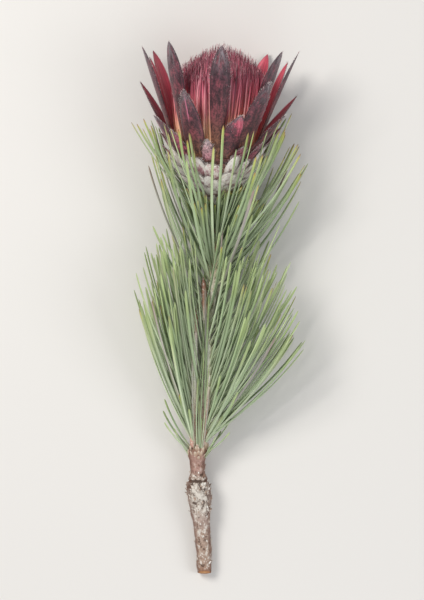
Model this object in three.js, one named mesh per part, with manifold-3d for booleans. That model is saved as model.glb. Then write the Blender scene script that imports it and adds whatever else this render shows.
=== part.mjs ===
// A cut protea with needle leaves, lying on its side on a surface.
// Millimetres. +Y runs up the stem to the flower, +Z is up, +X is to the right seen from above.
// Built from the cut end at y = 0, then shifted so that the origin is under the middle of the whole.
import * as THREE from "three";
import Module from "manifold-3d";

const wasm = await Module();
wasm.setup();

// Driving dimensions: how it lies
const CUT_END_HEIGHT = 5.3; // height of the stem's axis at the cut end
const RISE = 0.097; // the axis climbs this much for each mm along y, up to the flower head
const HEAD_LEAN = 0.053; // the head leans this much to +X for each mm along y
const HEAD_Y = 299; // where the stem ends and the flower head begins
const WOOD_TOP_Y = 100; // where the bare wood ends in the knuckle that bears three shoots
const SEAT_GAP = 0.3; // clearance between pieces that sit on each other

// The bare wood: sideways place and radius along y
const WOOD_X = [[0, -0.5], [18, -1], [34, -2.4], [54, -4], [66, -5.1], [82, -5.9], [96, -6], [100, -5.6]];
const WOOD_RADIUS = [
  [0, 5.5], [10, 5.7], [22, 6], [34, 6.2], [42, 6.9], [52, 8.3], [60, 9.1], [68, 9.3], [73, 8.2],
  [77, 6], [82, 5.6], [88, 5.7], [92, 7], [97, 7.3], [100, 6.9],
];
const CUT_SLANT = 0.25; // the cut face looks up: its rim is this much further back for each mm of height
const WOOD_SIDES = 11;
const WOOD_STEP = 3.7;
const SCAR_PITCH = 3.1; // leaf scars wind round the wood, one for each pitch of y
const SCAR_HEIGHT = 0.7;
const SCAR_SIZE = 2.6;

// The three shoots: sideways place, height above the common axis and radius along y.
// leafed gives the y of a needle's root against its share of the shoot's needles, so it shows where
// they crowd and where a year's growth ended. young gives how long they are there, as a share.
const SHOOTS = {
  flowering_shoot: {
    seed: 100,
    needles: 120,
    side: 0,
    leafed: [[0, 108], [0.14, 130], [0.28, 160], [0.36, 212], [0.6, 240], [1, 288]],
    young: [[0, 1], [0.7, 1], [1, 0.88]],
    end: HEAD_Y - SEAT_GAP,
    x: [[100, -5.2], [122, -3.2], [154, 0], [194, 3.2], [234, 6.4], [262, 8.8], [286, 7], [299, 5.8]],
    lift: [[100, -3.4], [140, -2.6], [170, -1.2], [200, 0], [299, 0]],
    radius: [[100, 2.7], [140, 2.6], [200, 2.4], [280, 2.4], [292, 3], [299, 4]],
  },
  left_side_shoot: {
    seed: 520,
    needles: 100,
    side: -1,
    leafed: [[0, 103], [0.4, 126], [0.8, 158], [1, 202]],
    young: [[0, 1], [0.7, 1], [1, 0.62]],
    end: 214,
    x: [[100, -8.9], [131, -8.6], [170, -8], [214, -6.6]],
    lift: [[100, 1.9], [150, 3], [214, 4]],
    radius: [[100, 2.6], [170, 2.2], [214, 1.5]],
  },
  right_side_shoot: {
    seed: 900,
    needles: 86,
    side: 1,
    leafed: [[0, 103], [0.4, 128], [0.8, 162], [1, 218]],
    young: [[0, 1], [0.7, 1], [1, 0.62]],
    end: 236,
    x: [[100, -2], [120, 0.8], [154, 2.4], [186, 1.6], [236, -1.4]],
    lift: [[100, 1.9], [140, 3.8], [170, 5.8], [236, 6.6]],
    radius: [[100, 2.6], [170, 2.6], [222, 2.4], [236, 1.6]],
  },
};
const SHOOT_SIDES = 6;
const SHOOT_STEP = 14;

// The needle leaves
const NEEDLE_RADIUS = 1.05;
const NEEDLE_LENGTH = [102, 122];
// Degrees between a needle and its shoot, against y, and how much more those towards +X lean out
const NEEDLE_LEAN = [[104, 31], [130, 29], [165, 26], [216, 31.5], [250, 31], [288, 30]];
const RIGHT_BIAS = [[104, 0.22], [165, 0.08], [216, 0.1], [288, 0.06]];
const LEAN_SPREAD = [3.2, 0.08]; // degrees, and how much wider with each try
const TURN_SPREAD = [22, 4]; // the same round the shoot
const FAN = 0.3; // radians that a lying brush turns its needles towards its two sides
const PARTING = 0.45; // radians from straight up within which no needle stands
const CROWDED = 1.3; // radians from straight up towards the other shoots, where a side shoot bears none
const ROOT_DEPTH = 0.45; // a needle starts at this share of its stem's radius, on its own side
const FLATTEN = 0.82; // the lying brush is this much flatter than wide
const OUT_CURVE = 1.28; // a needle starts outwards at this slope, and its tip curves back in
const ALONG_CURVE = 0.88;
const NEEDLE_SPACING = 2.4; // least distance between the middles of needles on different shoots
const SAME_SHOOT_SPACING = 2.1;
const OFF_STEM = 0.3; // the share of a needle's first stretch that lies among the roots
const NEEDLE_TRIES = 60;
const NEEDLE_STATIONS = [0, 0.34, 0.74, 1]; // shares of the length
const NEEDLE_TAPER = [0.8, 1, 1]; // share of the radius at each of them up to the tip
const FLOOR_LAYERS = 6; // needles that reach the surface lie at one of these levels above it
const FLOOR_LAYER = 2.3;
const FLOOR_CLEAR = 0.3;
const STEM_CLEAR = 0.5;

// The flower head, in its own frame: radius from the head's axis against height above its base
const RECEPTACLE = [[0, 4.6], [5, 12], [12, 18.5], [20, 24.5], [28, 29], [34, 31.5]];
const SCALE_CUP_TOP = 20;
const RECEPTACLE_TOP = 34;
const HEAD_SIDES = 16;
const GOLDEN_ANGLE = 137.508;
const FRONT_BRACT = 4; // azimuth of bract 0, in degrees from straight up towards +X

// Bracts are numbered outwards: 0 is the long front one, 54 the lowest scale. Negative ones stand inside.
const FIRST_BRACT = -7;
const LAST_BRACT = 21;
const LAST_SCALE = 54;
const MISSING_BRACTS = [-5]; // the gap in front that shows the florets
const BRACT_ROOT = [
  [-7, 31.5], [4, 30], [8, 27.5], [14, 25], [21, 22], [22, 18.5], [34, 12], [45, 6], [58, 1],
];
const BRACT_TIP = [
  [-7, 122], [0, 128], [4, 126], [5, 100], [8, 90.5], [11, 70], [14, 70], [16, 58], [18, 46], [21, 50],
  [24, 40], [34, 28], [45, 17], [58, 7],
];
const SHORT_BEHIND = 0.15; // the bracts on the underside are this share shorter
// Degrees that some bracts stand off the even spiral
const TURNED_BRACTS = { [-7]: 12, 0: -3, 1: 13, 5: 9, 7: -12, 8: -12, 13: 9, 16: -11, 18: -9, 21: -7 };
const BRACT_REACH = [
  [-7, 52], [0, 55], [4, 56], [5, 57], [8, 56], [11, 47], [14, 47], [18, 38], [21, 38.5], [24, 37],
  [34, 32.5], [45, 25.5], [58, 16],
];
const BRACT_HALF_WIDTH = [
  [-7, 7.2], [0, 8.5], [4, 8.4], [5, 9.8], [8, 10.4], [13, 11.2], [16, 8.6], [18, 7.2], [21, 5.6],
  [30, 5.8], [45, 4.8], [58, 3.6],
];
const BRACT_WIDEST = [[4, 0.62], [6, 0.46], [14, 0.48], [22, 0.56]]; // at this share of its length
const BRACT_ROWS = [0, 0.28, 0.56, 0.78, 0.92, 1]; // shares of the length
const SHORT_BRACT_ROWS = [0, 0.3, 0.6, 0.86, 1];
const SCALE_ROWS = [0, 0.6, 1];
const BRACT_THICKNESS = 1.1;
const SCALE_THICKNESS = 1.3;
const SIDE_REACH = 0.15; // the head is this much wider to its sides, because it lies on its underside
const BRACT_CUP = 0.22;
const ROOT_INSET = 1.2; // a bract's root lies this deep in the receptacle
const EDGE_THINNING = 0.3;
const BRACT_BEND = [0.42, 0.42]; // where a bract bends: shares of its way out and of its way up
const SCALE_BEND = [0.62, 0.45];
const AZIMUTH_SPREAD = 5;
const TIP_SPREAD = 0.03;
const REACH_SPREAD = 0.04;

// The florets stand in rings on a smaller core
const FLORET_CORE = [[34.3, 25.5], [46, 28.5], [62, 30.5], [80, 32.5], [92, 30], [100, 22], [104, 11]];
const FLORET_RINGS = [
  { radius: [29.5, 37], count: 30, root: 47, tip: 101 },
  { radius: [26, 30], count: 22, root: 78, tip: 109 },
  { radius: [20, 22], count: 15, root: 84, tip: 114 },
  { radius: [12, 13], count: 9, root: 90, tip: 118 },
  { radius: [4, 5], count: 3, root: 94, tip: 121 },
];
const FLORET_RADIUS = 2.2;
const FLORET_SHOULDER = 0.7; // a floret keeps its full width up to this share of its length

// The room that needles leave round the head: radius against height above its base
const HEAD_ROOM = [
  [-9, 4], [-4, 7.5], [0, 11.5], [6, 20.5], [12, 27], [20, 33], [30, 38.5], [40, 42], [50, 45],
  [60, 49], [70, 54],
];
const CHORD_SLACK = 1.2; // a needle's straight stretch may cut this far into that room

// Height is at least this much above the surface; what would go lower bends along it.
const FLOOR_BEND = 2;
const FLOOR_DIP = 0.3;

// A smooth curve through a list of [position, value] pairs.
function through(pairs, at) {
  const last = pairs.length - 1;
  if (at <= pairs[0][0]) return pairs[0][1];
  if (at >= pairs[last][0]) return pairs[last][1];
  let i = 0;
  while (at > pairs[i + 1][0]) i++;
  const slope = (k) => {
    const a = pairs[Math.max(k - 1, 0)];
    const b = pairs[Math.min(k + 1, last)];
    return (b[1] - a[1]) / (b[0] - a[0]);
  };
  const [x0, y0] = pairs[i];
  const [x1, y1] = pairs[i + 1];
  const width = x1 - x0;
  const t = (at - x0) / width;
  const rise = t * t * (3 - 2 * t);
  const start = t * (1 - t) * (1 - t) * width * slope(i);
  const finish = t * t * (t - 1) * width * slope(i + 1);
  return y0 + (y1 - y0) * rise + start + finish;
}

// A repeatable number from 0 to 1 for each index and channel.
function draw(index, channel) {
  let h = Math.imul(index + 1, 0x9e3779b1) ^ Math.imul(channel + 1, 0x85ebca6b);
  h = Math.imul(h ^ (h >>> 15), 0x2c1b3c6d);
  h = Math.imul(h ^ (h >>> 12), 0x297a2d39);
  return ((h ^ (h >>> 15)) >>> 0) / 4294967296;
}

const spread = (index, channel) => 2 * draw(index, channel) - 1;
const radians = (degrees) => (degrees * Math.PI) / 180;
const axisHeight = (y) => CUT_END_HEIGHT + RISE * y;

// A height that stays above the least one, with a soft bend where the surface presses.
function pressed(z, least) {
  const above = z - least;
  return least + 0.5 * (above + Math.sqrt(above * above + FLOOR_BEND * FLOOR_BEND));
}

// Solids

function solidOf(points, triangles) {
  const vertProperties = new Float32Array(points.flatMap((p) => [p.x, p.y, p.z]));
  const build = (list) => {
    const triVerts = new Uint32Array(list.flat());
    return new wasm.Manifold(new wasm.Mesh({ numProp: 3, vertProperties, triVerts }));
  };
  const made = build(triangles);
  return made.volume() >= 0 ? made : build(triangles.map(([a, b, c]) => [a, c, b]));
}

// A closed solid through rings of the same number of points. A last ring of one point makes a tip.
function loft(rings) {
  const sides = rings[0].length;
  const points = rings.flat();
  const triangles = [];
  for (let k = 1; k < sides - 1; k++) triangles.push([0, k + 1, k]);
  for (let i = 0; i < rings.length - 1; i++) {
    const low = i * sides;
    const high = low + sides;
    const tip = rings[i + 1].length === 1;
    for (let k = 0; k < sides; k++) {
      const next = (k + 1) % sides;
      triangles.push([low + k, low + next, tip ? high : high + k]);
      if (!tip) triangles.push([low + next, high + next, high + k]);
    }
  }
  if (rings[rings.length - 1].length > 1) {
    const top = points.length - sides;
    for (let k = 1; k < sides - 1; k++) triangles.push([top, top + k, top + k + 1]);
  }
  return solidOf(points, triangles);
}

// A ring of points round a centre, across a direction. The first point lies towards outward.
function ringRound(centre, along, outward, sides, radiusAt) {
  const t = along.clone().normalize();
  const n = outward.clone().addScaledVector(t, -outward.dot(t)).normalize();
  const b = new THREE.Vector3().crossVectors(t, n);
  return Array.from({ length: sides }, (_, k) => {
    const angle = (2 * Math.PI * k) / sides;
    const r = radiusAt(angle);
    return centre.clone().addScaledVector(n, r * Math.cos(angle)).addScaledVector(b, r * Math.sin(angle));
  });
}

// A blade with the given middle surface, a grid of points in rows from root to tip.
function slab(grid, thicknessAt) {
  const rows = grid.length;
  const columns = grid[0].length;
  const points = [];
  for (const side of [0.5, -0.5]) {
    for (let i = 0; i < rows; i++) {
      for (let j = 0; j < columns; j++) {
        const down = grid[Math.max(i - 1, 0)][j];
        const up = grid[Math.min(i + 1, rows - 1)][j];
        const left = grid[i][Math.max(j - 1, 0)];
        const right = grid[i][Math.min(j + 1, columns - 1)];
        const across = right.clone().sub(left);
        const normal = across.cross(up.clone().sub(down)).normalize();
        const thickness = thicknessAt(j / (columns - 1));
        points.push(grid[i][j].clone().addScaledVector(normal, side * thickness));
      }
    }
  }
  const back = rows * columns;
  const at = (i, j) => i * columns + j;
  const triangles = [];
  for (let i = 0; i < rows - 1; i++) {
    for (let j = 0; j < columns - 1; j++) {
      const [a, b, c, d] = [at(i, j), at(i, j + 1), at(i + 1, j + 1), at(i + 1, j)];
      const split = j < (columns - 1) / 2 ? [[a, b, c], [a, c, d]] : [[a, b, d], [b, c, d]];
      for (const [p, q, r] of split) triangles.push([p, q, r], [p + back, r + back, q + back]);
    }
  }
  const edge = [];
  for (let j = 0; j < columns - 1; j++) edge.push(at(0, j));
  for (let i = 0; i < rows - 1; i++) edge.push(at(i, columns - 1));
  for (let j = columns - 1; j > 0; j--) edge.push(at(rows - 1, j));
  for (let i = rows - 1; i > 0; i--) edge.push(at(i, 0));
  edge.forEach((a, k) => {
    const b = edge[(k + 1) % edge.length];
    triangles.push([a, a + back, b], [b, a + back, b + back]);
  });
  return solidOf(points, triangles);
}

const fused = (solids) => wasm.Manifold.union(solids);

// The largest body of a solid: a cut can leave a loose scrap, which is dropped.
function largestBody(solid) {
  return solid.decompose().reduce((best, body) => (body.volume() > best.volume() ? body : best));
}

// The solid above the surface that the flower lies on. What reaches it gets a small flat spot.
function aboveSurface(solid) {
  return largestBody(solid.trimByPlane([0, 0, 1], 0));
}

function meshOf(name, solid, color, roughness) {
  const made = solid.getMesh();
  const stride = made.numProp;
  const position = new Float32Array(made.numVert * 3);
  for (let i = 0; i < made.numVert; i++) {
    position.set(made.vertProperties.subarray(i * stride, i * stride + 3), i * 3);
  }
  const geometry = new THREE.BufferGeometry();
  geometry.setAttribute("position", new THREE.BufferAttribute(position, 3));
  geometry.setIndex(new THREE.BufferAttribute(new Uint32Array(made.triVerts), 1));
  geometry.computeVertexNormals();
  const mesh = new THREE.Mesh(geometry, new THREE.MeshStandardMaterial({ color, roughness, metalness: 0 }));
  mesh.name = name;
  return mesh;
}

// The flower head's frame

const headAxis = new THREE.Vector3(HEAD_LEAN, 1, RISE).normalize();
const headUp = new THREE.Vector3(0, 0, 1).addScaledVector(headAxis, -headAxis.z).normalize();
const headRight = new THREE.Vector3().crossVectors(headAxis, headUp);
const headBase = new THREE.Vector3(through(SHOOTS.flowering_shoot.x, HEAD_Y), HEAD_Y, axisHeight(HEAD_Y));

// A point of the head: radius from its axis, azimuth in radians from straight up towards +X, and
// height above its base.
function headPoint(radius, azimuth, height) {
  return headBase
    .clone()
    .addScaledVector(headAxis, height)
    .addScaledVector(headRight, radius * Math.sin(azimuth))
    .addScaledVector(headUp, radius * Math.cos(azimuth));
}

// A solid of revolution about the head's axis, between two heights of a profile.
function headSolid(profile, low, high, steps) {
  const rings = Array.from({ length: steps + 1 }, (_, i) => {
    const height = low + ((high - low) * i) / steps;
    const radius = through(profile, height);
    return ringRound(headPoint(0, 0, height), headAxis, headUp, HEAD_SIDES, () => radius);
  });
  return loft(rings);
}

// Bracts and scales

// The share of the full width at each share of the length. A scale has a blunter tip.
function outline(v, widest, blunt) {
  if (v < widest) return 0.62 + 0.38 * Math.sin((Math.PI / 2) * (v / widest));
  const upper = (v - widest) / (1 - widest);
  return Math.max(0.05, Math.pow(1 - Math.pow(upper, 2.4), blunt ? 0.42 : 0.62));
}

function bractGrid(k, rows, columns) {
  const seed = k + 20;
  const turned = (TURNED_BRACTS[k] ?? 0) + AZIMUTH_SPREAD * spread(seed, 1);
  const azimuth = radians(FRONT_BRACT - k * GOLDEN_ANGLE + turned);
  const root = through(BRACT_ROOT, k);
  const rootRadius = through(RECEPTACLE, root) - ROOT_INSET;
  const behind = k > LAST_BRACT ? 0 : (SHORT_BEHIND * (1 - Math.cos(azimuth))) / 2;
  const tip = through(BRACT_TIP, k) * (1 + TIP_SPREAD * spread(seed, 2) - behind);
  const sideways = 1 + SIDE_REACH * Math.sin(azimuth) ** 2;
  const reach = through(BRACT_REACH, k) * sideways * (1 + REACH_SPREAD * spread(seed, 3));
  const halfWidth = through(BRACT_HALF_WIDTH, k);
  const isScale = k > LAST_BRACT;
  const bend = isScale ? SCALE_BEND : BRACT_BEND;
  const bendRadius = rootRadius + bend[0] * (reach - rootRadius);
  const bendHeight = root + bend[1] * (tip - root);
  const thickness = isScale ? SCALE_THICKNESS : BRACT_THICKNESS;
  const grid = [];
  for (const v of rows) {
    const radius = (1 - v) ** 2 * rootRadius + 2 * v * (1 - v) * bendRadius + v * v * reach;
    const height = (1 - v) ** 2 * root + 2 * v * (1 - v) * bendHeight + v * v * tip;
    const half = halfWidth * outline(v, through(BRACT_WIDEST, k), isScale);
    const row = [];
    for (let j = 0; j <= columns; j++) {
      const u = (2 * j) / columns - 1;
      const point = headPoint(radius - BRACT_CUP * half * u * u, azimuth + (u * half) / radius, height);
      point.z = pressed(point.z, thickness / 2 - FLOOR_DIP);
      row.push(point);
    }
    grid.push(row);
  }
  return grid;
}

function bract(k, rows, columns, grow) {
  const full = (k > LAST_BRACT ? SCALE_THICKNESS : BRACT_THICKNESS) + 2 * grow;
  return slab(bractGrid(k, rows, columns), (u) => full * (1 - EDGE_THINNING * Math.abs(2 * u - 1)));
}

function bractNumbers() {
  const numbers = [];
  for (let k = FIRST_BRACT; k <= LAST_BRACT; k++) if (!MISSING_BRACTS.includes(k)) numbers.push(k);
  return numbers;
}

function redBracts(grow) {
  return bractNumbers().map((k) => bract(k, k <= 14 ? BRACT_ROWS : SHORT_BRACT_ROWS, 2, grow));
}

function redBractNode() {
  const receptacle = headSolid(RECEPTACLE, SCALE_CUP_TOP + SEAT_GAP, RECEPTACLE_TOP, 4);
  return aboveSurface(fused([receptacle, ...redBracts(0)]));
}

function scaleNode() {
  const cup = headSolid(RECEPTACLE, 0, SCALE_CUP_TOP, 4);
  const scales = [];
  for (let k = LAST_BRACT + 1; k <= LAST_SCALE; k++) scales.push(bract(k, SCALE_ROWS, 2, 0));
  const receptacleRoom = headSolid(
    RECEPTACLE.map(([height, radius]) => [height, radius + SEAT_GAP]),
    SCALE_CUP_TOP,
    RECEPTACLE_TOP + SEAT_GAP,
    4,
  );
  const room = fused([receptacleRoom, ...redBracts(SEAT_GAP)]);
  return largestBody(fused([cup, ...scales]).subtract(room));
}

// Florets

function floret(ring, index, seed) {
  const azimuth = radians((360 * (index + 0.5 * (seed % 2))) / ring.count + 3 * spread(seed + index, 4));
  const tip = ring.tip * (1 + 0.03 * spread(seed + index, 5));
  const radial = headPoint(1, azimuth, 0).sub(headBase);
  const [inner, outer] = ring.radius;
  const rings = [0, FLORET_SHOULDER].map((share) => {
    const height = ring.root + share * (tip - ring.root);
    const centre = headPoint(inner + share * (outer - inner), azimuth, height);
    return ringRound(centre, headAxis, radial, 3, () => FLORET_RADIUS);
  });
  return loft([...rings, [headPoint(outer, azimuth, tip)]]);
}

function floretNode() {
  const core = headSolid(FLORET_CORE, FLORET_CORE[0][0], FLORET_CORE[FLORET_CORE.length - 1][0], 6);
  const florets = FLORET_RINGS.flatMap((ring, r) => {
    return Array.from({ length: ring.count }, (_, i) => floret(ring, i, 100 * r + r));
  });
  return aboveSurface(fused([core, ...florets]));
}

// Stems

function shootPoint(shoot, y) {
  return new THREE.Vector3(through(shoot.x, y), y, axisHeight(y) + through(shoot.lift, y));
}

function shootDirection(shoot, y) {
  const step = 1;
  return shootPoint(shoot, y + step).sub(shootPoint(shoot, y - step)).normalize();
}

function shootStem(shoot) {
  const start = WOOD_TOP_Y + SEAT_GAP - RISE * through(shoot.lift, WOOD_TOP_Y);
  const steps = Math.ceil((shoot.end - start) / SHOOT_STEP);
  const up = new THREE.Vector3(0, 0, 1);
  const rings = Array.from({ length: steps + 1 }, (_, i) => {
    const y = start + ((shoot.end - start) * i) / steps;
    const ends = { 0: new THREE.Vector3(0, 1, RISE), [steps]: headAxis };
    const along = ends[i] ?? shootDirection(shoot, y);
    return ringRound(shootPoint(shoot, y), along, up, SHOOT_SIDES, () => through(shoot.radius, y));
  });
  return loft(rings);
}

// Leaf scars stand up from the bark in a winding row.
function scarHeight(y, angle) {
  let height = 0;
  const first = Math.round(y / SCAR_PITCH) - 2;
  for (let i = first; i <= first + 4; i++) {
    const turn = angle - radians(i * GOLDEN_ANGLE);
    const around = Math.atan2(Math.sin(turn), Math.cos(turn)) * through(WOOD_RADIUS, y);
    const up = y - i * SCAR_PITCH;
    height += Math.exp(-(around * around + 0.6 * up * up) / (SCAR_SIZE * SCAR_SIZE));
  }
  return SCAR_HEIGHT * height;
}

function woodNode() {
  const steps = Math.round(WOOD_TOP_Y / WOOD_STEP);
  const up = new THREE.Vector3(0, 0, 1);
  const rings = Array.from({ length: steps + 1 }, (_, i) => {
    const y = (WOOD_TOP_Y * i) / steps;
    const along = new THREE.Vector3(0, 1, i === 0 ? -CUT_SLANT : RISE);
    const centre = new THREE.Vector3(through(WOOD_X, y), y, axisHeight(y));
    const isEnd = i === 0 || i === steps;
    const radiusAt = (angle) => through(WOOD_RADIUS, y) + (isEnd ? 0 : scarHeight(y, angle));
    return ringRound(centre, along, up, WOOD_SIDES, radiusAt);
  });
  return aboveSurface(loft(rings));
}

// Needle leaves

function headRoom(height, azimuth) {
  return through(HEAD_ROOM, height) * (1 + SIDE_REACH * Math.sin(azimuth) ** 2);
}

function inHeadFrame(point) {
  const offset = point.clone().sub(headBase);
  const height = offset.dot(headAxis);
  const across = offset.dot(headRight);
  const up = offset.dot(headUp);
  return { height, radius: Math.hypot(across, up), azimuth: Math.atan2(across, up) };
}

// Pushes a point out of the head's room.
function clearOfHead(point) {
  const { height, radius, azimuth } = inHeadFrame(point);
  if (height < HEAD_ROOM[0][0]) return point;
  const least = headRoom(height, azimuth);
  return radius < least ? headPoint(least, azimuth, height) : point;
}

const wider = ([start, step], attempt) => start + step * attempt;

// A turn round the shoot, kept out of the parting along its upper side and away from the other shoots.
function parted(turn, side) {
  const fromUp = Math.atan2(Math.sin(turn), Math.cos(turn));
  const isCrowded = side * fromUp < 0 && Math.abs(fromUp) < CROWDED;
  const kept = isCrowded ? -fromUp : fromUp;
  return Math.abs(kept) < PARTING ? Math.sign(kept) * PARTING : kept;
}

// The line of one needle, from inside the stem to its tip, at the given shares of its length.
function needleLine(shoot, index, attempt, stations) {
  const seed = shoot.seed + index + 10000 * attempt;
  const share = (index + 0.5) / shoot.needles;
  const y = through(shoot.leafed, share);
  const around = radians(index * GOLDEN_ANGLE + wider(TURN_SPREAD, attempt) * spread(seed, 1));
  const turn = parted(around + FAN * Math.sin(2 * around), shoot.side);
  const [shortest, longest] = NEEDLE_LENGTH;
  const length = (shortest + (longest - shortest) * draw(seed, 2)) * through(shoot.young, share);
  const bias = 1 + through(RIGHT_BIAS, y) * Math.sin(turn);
  const lean = radians(through(NEEDLE_LEAN, y) * bias + wider(LEAN_SPREAD, attempt) * spread(seed, 3));
  const direction = shootDirection(shoot, y);
  const root = shootPoint(shoot, y);
  const right = new THREE.Vector3().crossVectors(direction, new THREE.Vector3(0, 0, 1)).normalize();
  const up = new THREE.Vector3().crossVectors(right, direction);
  const outward = right.multiplyScalar(Math.sin(turn)).addScaledVector(up, FLATTEN * Math.cos(turn));
  const layer = NEEDLE_RADIUS + FLOOR_CLEAR + FLOOR_LAYER * Math.floor(FLOOR_LAYERS * draw(seed, 4));
  const points = stations.map((t) => {
    const out = length * Math.sin(lean) * (OUT_CURVE * t + (1 - OUT_CURVE) * t * t);
    const along = length * Math.cos(lean) * (ALONG_CURVE * t + (1 - ALONG_CURVE) * t * t);
    const point = clearOfHead(root.clone().addScaledVector(direction, along).addScaledVector(outward, out));
    point.z = pressed(point.z, Math.min(layer, root.z - 2 * NEEDLE_RADIUS));
    return point;
  });
  points[0] = root.clone().addScaledVector(outward.normalize(), ROOT_DEPTH * through(shoot.radius, y));
  return points;
}

// The least distance between two straight stretches.
function stretchDistance(p1, q1, p2, q2) {
  const d1 = q1.clone().sub(p1);
  const d2 = q2.clone().sub(p2);
  const r = p1.clone().sub(p2);
  const a = d1.dot(d1);
  const e = d2.dot(d2);
  const f = d2.dot(r);
  const c = d1.dot(r);
  const b = d1.dot(d2);
  const clamp = (x) => Math.min(1, Math.max(0, x));
  const denominator = a * e - b * b;
  let s = denominator > 1e-9 ? clamp((b * f - c * e) / denominator) : 0;
  let t = (b * s + f) / e;
  if (t < 0 || t > 1) {
    t = clamp(t);
    s = clamp((b * t - c) / a);
  }
  return p1.clone().addScaledVector(d1, s).distanceTo(p2.clone().addScaledVector(d2, t));
}

// Points along each straight stretch of a line.
function samples(line) {
  const shares = [0.25, 0.5, 0.75, 1];
  return line.slice(1).flatMap((end, i) => shares.map((share) => line[i].clone().lerp(end, share)));
}

function entersHead(point) {
  const { height, radius, azimuth } = inHeadFrame(point);
  return height > HEAD_ROOM[0][0] && radius < headRoom(height, azimuth) - CHORD_SLACK;
}

function entersShoot(point, shoot) {
  const y = Math.min(Math.max(point.y, WOOD_TOP_Y), shoot.end);
  return shootPoint(shoot, y).distanceTo(point) < through(shoot.radius, y) + NEEDLE_RADIUS + STEM_CLEAR;
}

function linesTooNear(a, b, spacing) {
  for (let i = 0; i < a.length - 1; i++) {
    for (let j = 0; j < b.length - 1; j++) {
      if (stretchDistance(a[i], a[i + 1], b[j], b[j + 1]) < spacing) return true;
    }
  }
  return false;
}

// A needle's line without the part next to its own stem, where its neighbours' roots are.
const offStem = (line) => [line[0].clone().lerp(line[1], OFF_STEM), ...line.slice(1)];

// A needle is clear when it passes no other needle, stem or the head, apart from its own root.
function isClear(line, name, placed) {
  if (samples(offStem(line)).some(entersHead)) return false;
  for (const [other, shoot] of Object.entries(SHOOTS)) {
    if (other !== name && samples(line).some((point) => entersShoot(point, shoot))) return false;
  }
  return placed.every(([owner, other]) => {
    if (owner === name) return !linesTooNear(offStem(line), offStem(other), SAME_SHOOT_SPACING);
    return !linesTooNear(line, other, NEEDLE_SPACING);
  });
}

function placeNeedles() {
  const placed = [];
  for (const [name, shoot] of Object.entries(SHOOTS)) {
    for (let index = 0; index < shoot.needles; index++) {
      for (let attempt = 0; attempt < NEEDLE_TRIES; attempt++) {
        const line = needleLine(shoot, index, attempt, NEEDLE_STATIONS);
        if (isClear(line, name, placed)) {
          placed.push([name, line]);
          break;
        }
      }
    }
  }
  return placed;
}

function needle(line) {
  const up = new THREE.Vector3(0, 0, 1);
  const rings = NEEDLE_TAPER.map((share, i) => {
    const along = line[i + 1].clone().sub(line[Math.max(i - 1, 0)]);
    return ringRound(line[i], along, up, 3, () => share * NEEDLE_RADIUS);
  });
  return loft([...rings, [line[line.length - 1]]]);
}

// The whole flower

const group = new THREE.Group();
group.add(meshOf("woody_stem", woodNode(), 0xb39a8a, 0.9));

const needles = placeNeedles();
for (const [name, shoot] of Object.entries(SHOOTS)) {
  const own = needles.filter(([owner]) => owner === name).map(([, line]) => needle(line));
  group.add(meshOf(name, fused([shootStem(shoot), ...own]), 0x8fa67a, 0.6));
}

group.add(meshOf("basal_scales", scaleNode(), 0xcfc3bd, 0.85));
group.add(meshOf("red_bracts", redBractNode(), 0x6b2f3c, 0.6));
group.add(meshOf("floret_mass", floretNode(), 0xb85564, 0.7));

const box = new THREE.Box3().setFromObject(group);
group.position.set(-(box.min.x + box.max.x) / 2, -(box.min.y + box.max.y) / 2, 0);

export default group;
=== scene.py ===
"""The looks of a cut protea with needle leaves that lies on its side.

Its shapes are worked out in the stem's own frame, in millimetres: y runs from the cut end up the stem to
the flower, z is up, and x is to the right seen from above. Meshes are in metres, in the row frame.
"""

import math

import bpy
import numpy as np
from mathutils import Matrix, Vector, noise


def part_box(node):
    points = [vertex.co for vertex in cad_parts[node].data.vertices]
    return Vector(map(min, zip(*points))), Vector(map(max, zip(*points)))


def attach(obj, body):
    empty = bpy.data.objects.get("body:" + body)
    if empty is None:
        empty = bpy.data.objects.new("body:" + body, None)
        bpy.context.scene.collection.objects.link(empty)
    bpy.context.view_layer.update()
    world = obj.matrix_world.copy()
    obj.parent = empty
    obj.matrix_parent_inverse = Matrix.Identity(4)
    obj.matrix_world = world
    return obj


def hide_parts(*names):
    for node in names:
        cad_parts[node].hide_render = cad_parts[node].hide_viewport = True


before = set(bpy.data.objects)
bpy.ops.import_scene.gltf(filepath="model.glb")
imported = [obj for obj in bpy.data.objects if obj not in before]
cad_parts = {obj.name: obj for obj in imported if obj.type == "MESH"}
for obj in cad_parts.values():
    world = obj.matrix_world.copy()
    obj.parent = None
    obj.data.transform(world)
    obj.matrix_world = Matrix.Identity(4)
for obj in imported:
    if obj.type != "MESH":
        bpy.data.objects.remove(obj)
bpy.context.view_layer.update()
MM = 0.001

# How it lies
CUT_END_HEIGHT = 5.3  # height of the stem's axis at the cut end
RISE = 0.097  # the axis climbs this much for each mm along y, up to the flower head
HEAD_LEAN = 0.053  # the head leans this far to the right for each mm along y
HEAD_Y = 299  # where the stem ends and the flower head begins
WOOD_TOP_Y = 100  # where the bare wood ends in the knuckle that bears three shoots
CUT_SLANT = 0.25  # the cut face looks up: its rim is this much further back for each mm of height
FLOOR_BEND = 2  # how softly the surface bends what lies on it
FLOOR_DIP = 0.3  # blades press this much lower, because the soft bend lifts them

# The bare wood: sideways place and radius along y
WOOD_X = [(0, -0.5), (18, -1), (34, -2.4), (54, -4), (66, -5.1), (82, -5.9), (96, -6), (100, -5.6)]
WOOD_RADIUS = [
    (0, 5.5), (10, 5.7), (22, 6), (34, 6.2), (42, 6.9), (52, 8.3), (60, 9.1), (68, 9.3), (73, 8.2),
    (77, 6), (82, 5.6), (88, 5.7), (92, 7), (97, 7.3), (100, 6.9),
]
SCAR_PITCH = 3.1  # along y from one leaf scar to the next
SCAR_HEIGHT = 0.7
SCAR_SIZE = 2.6

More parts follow.
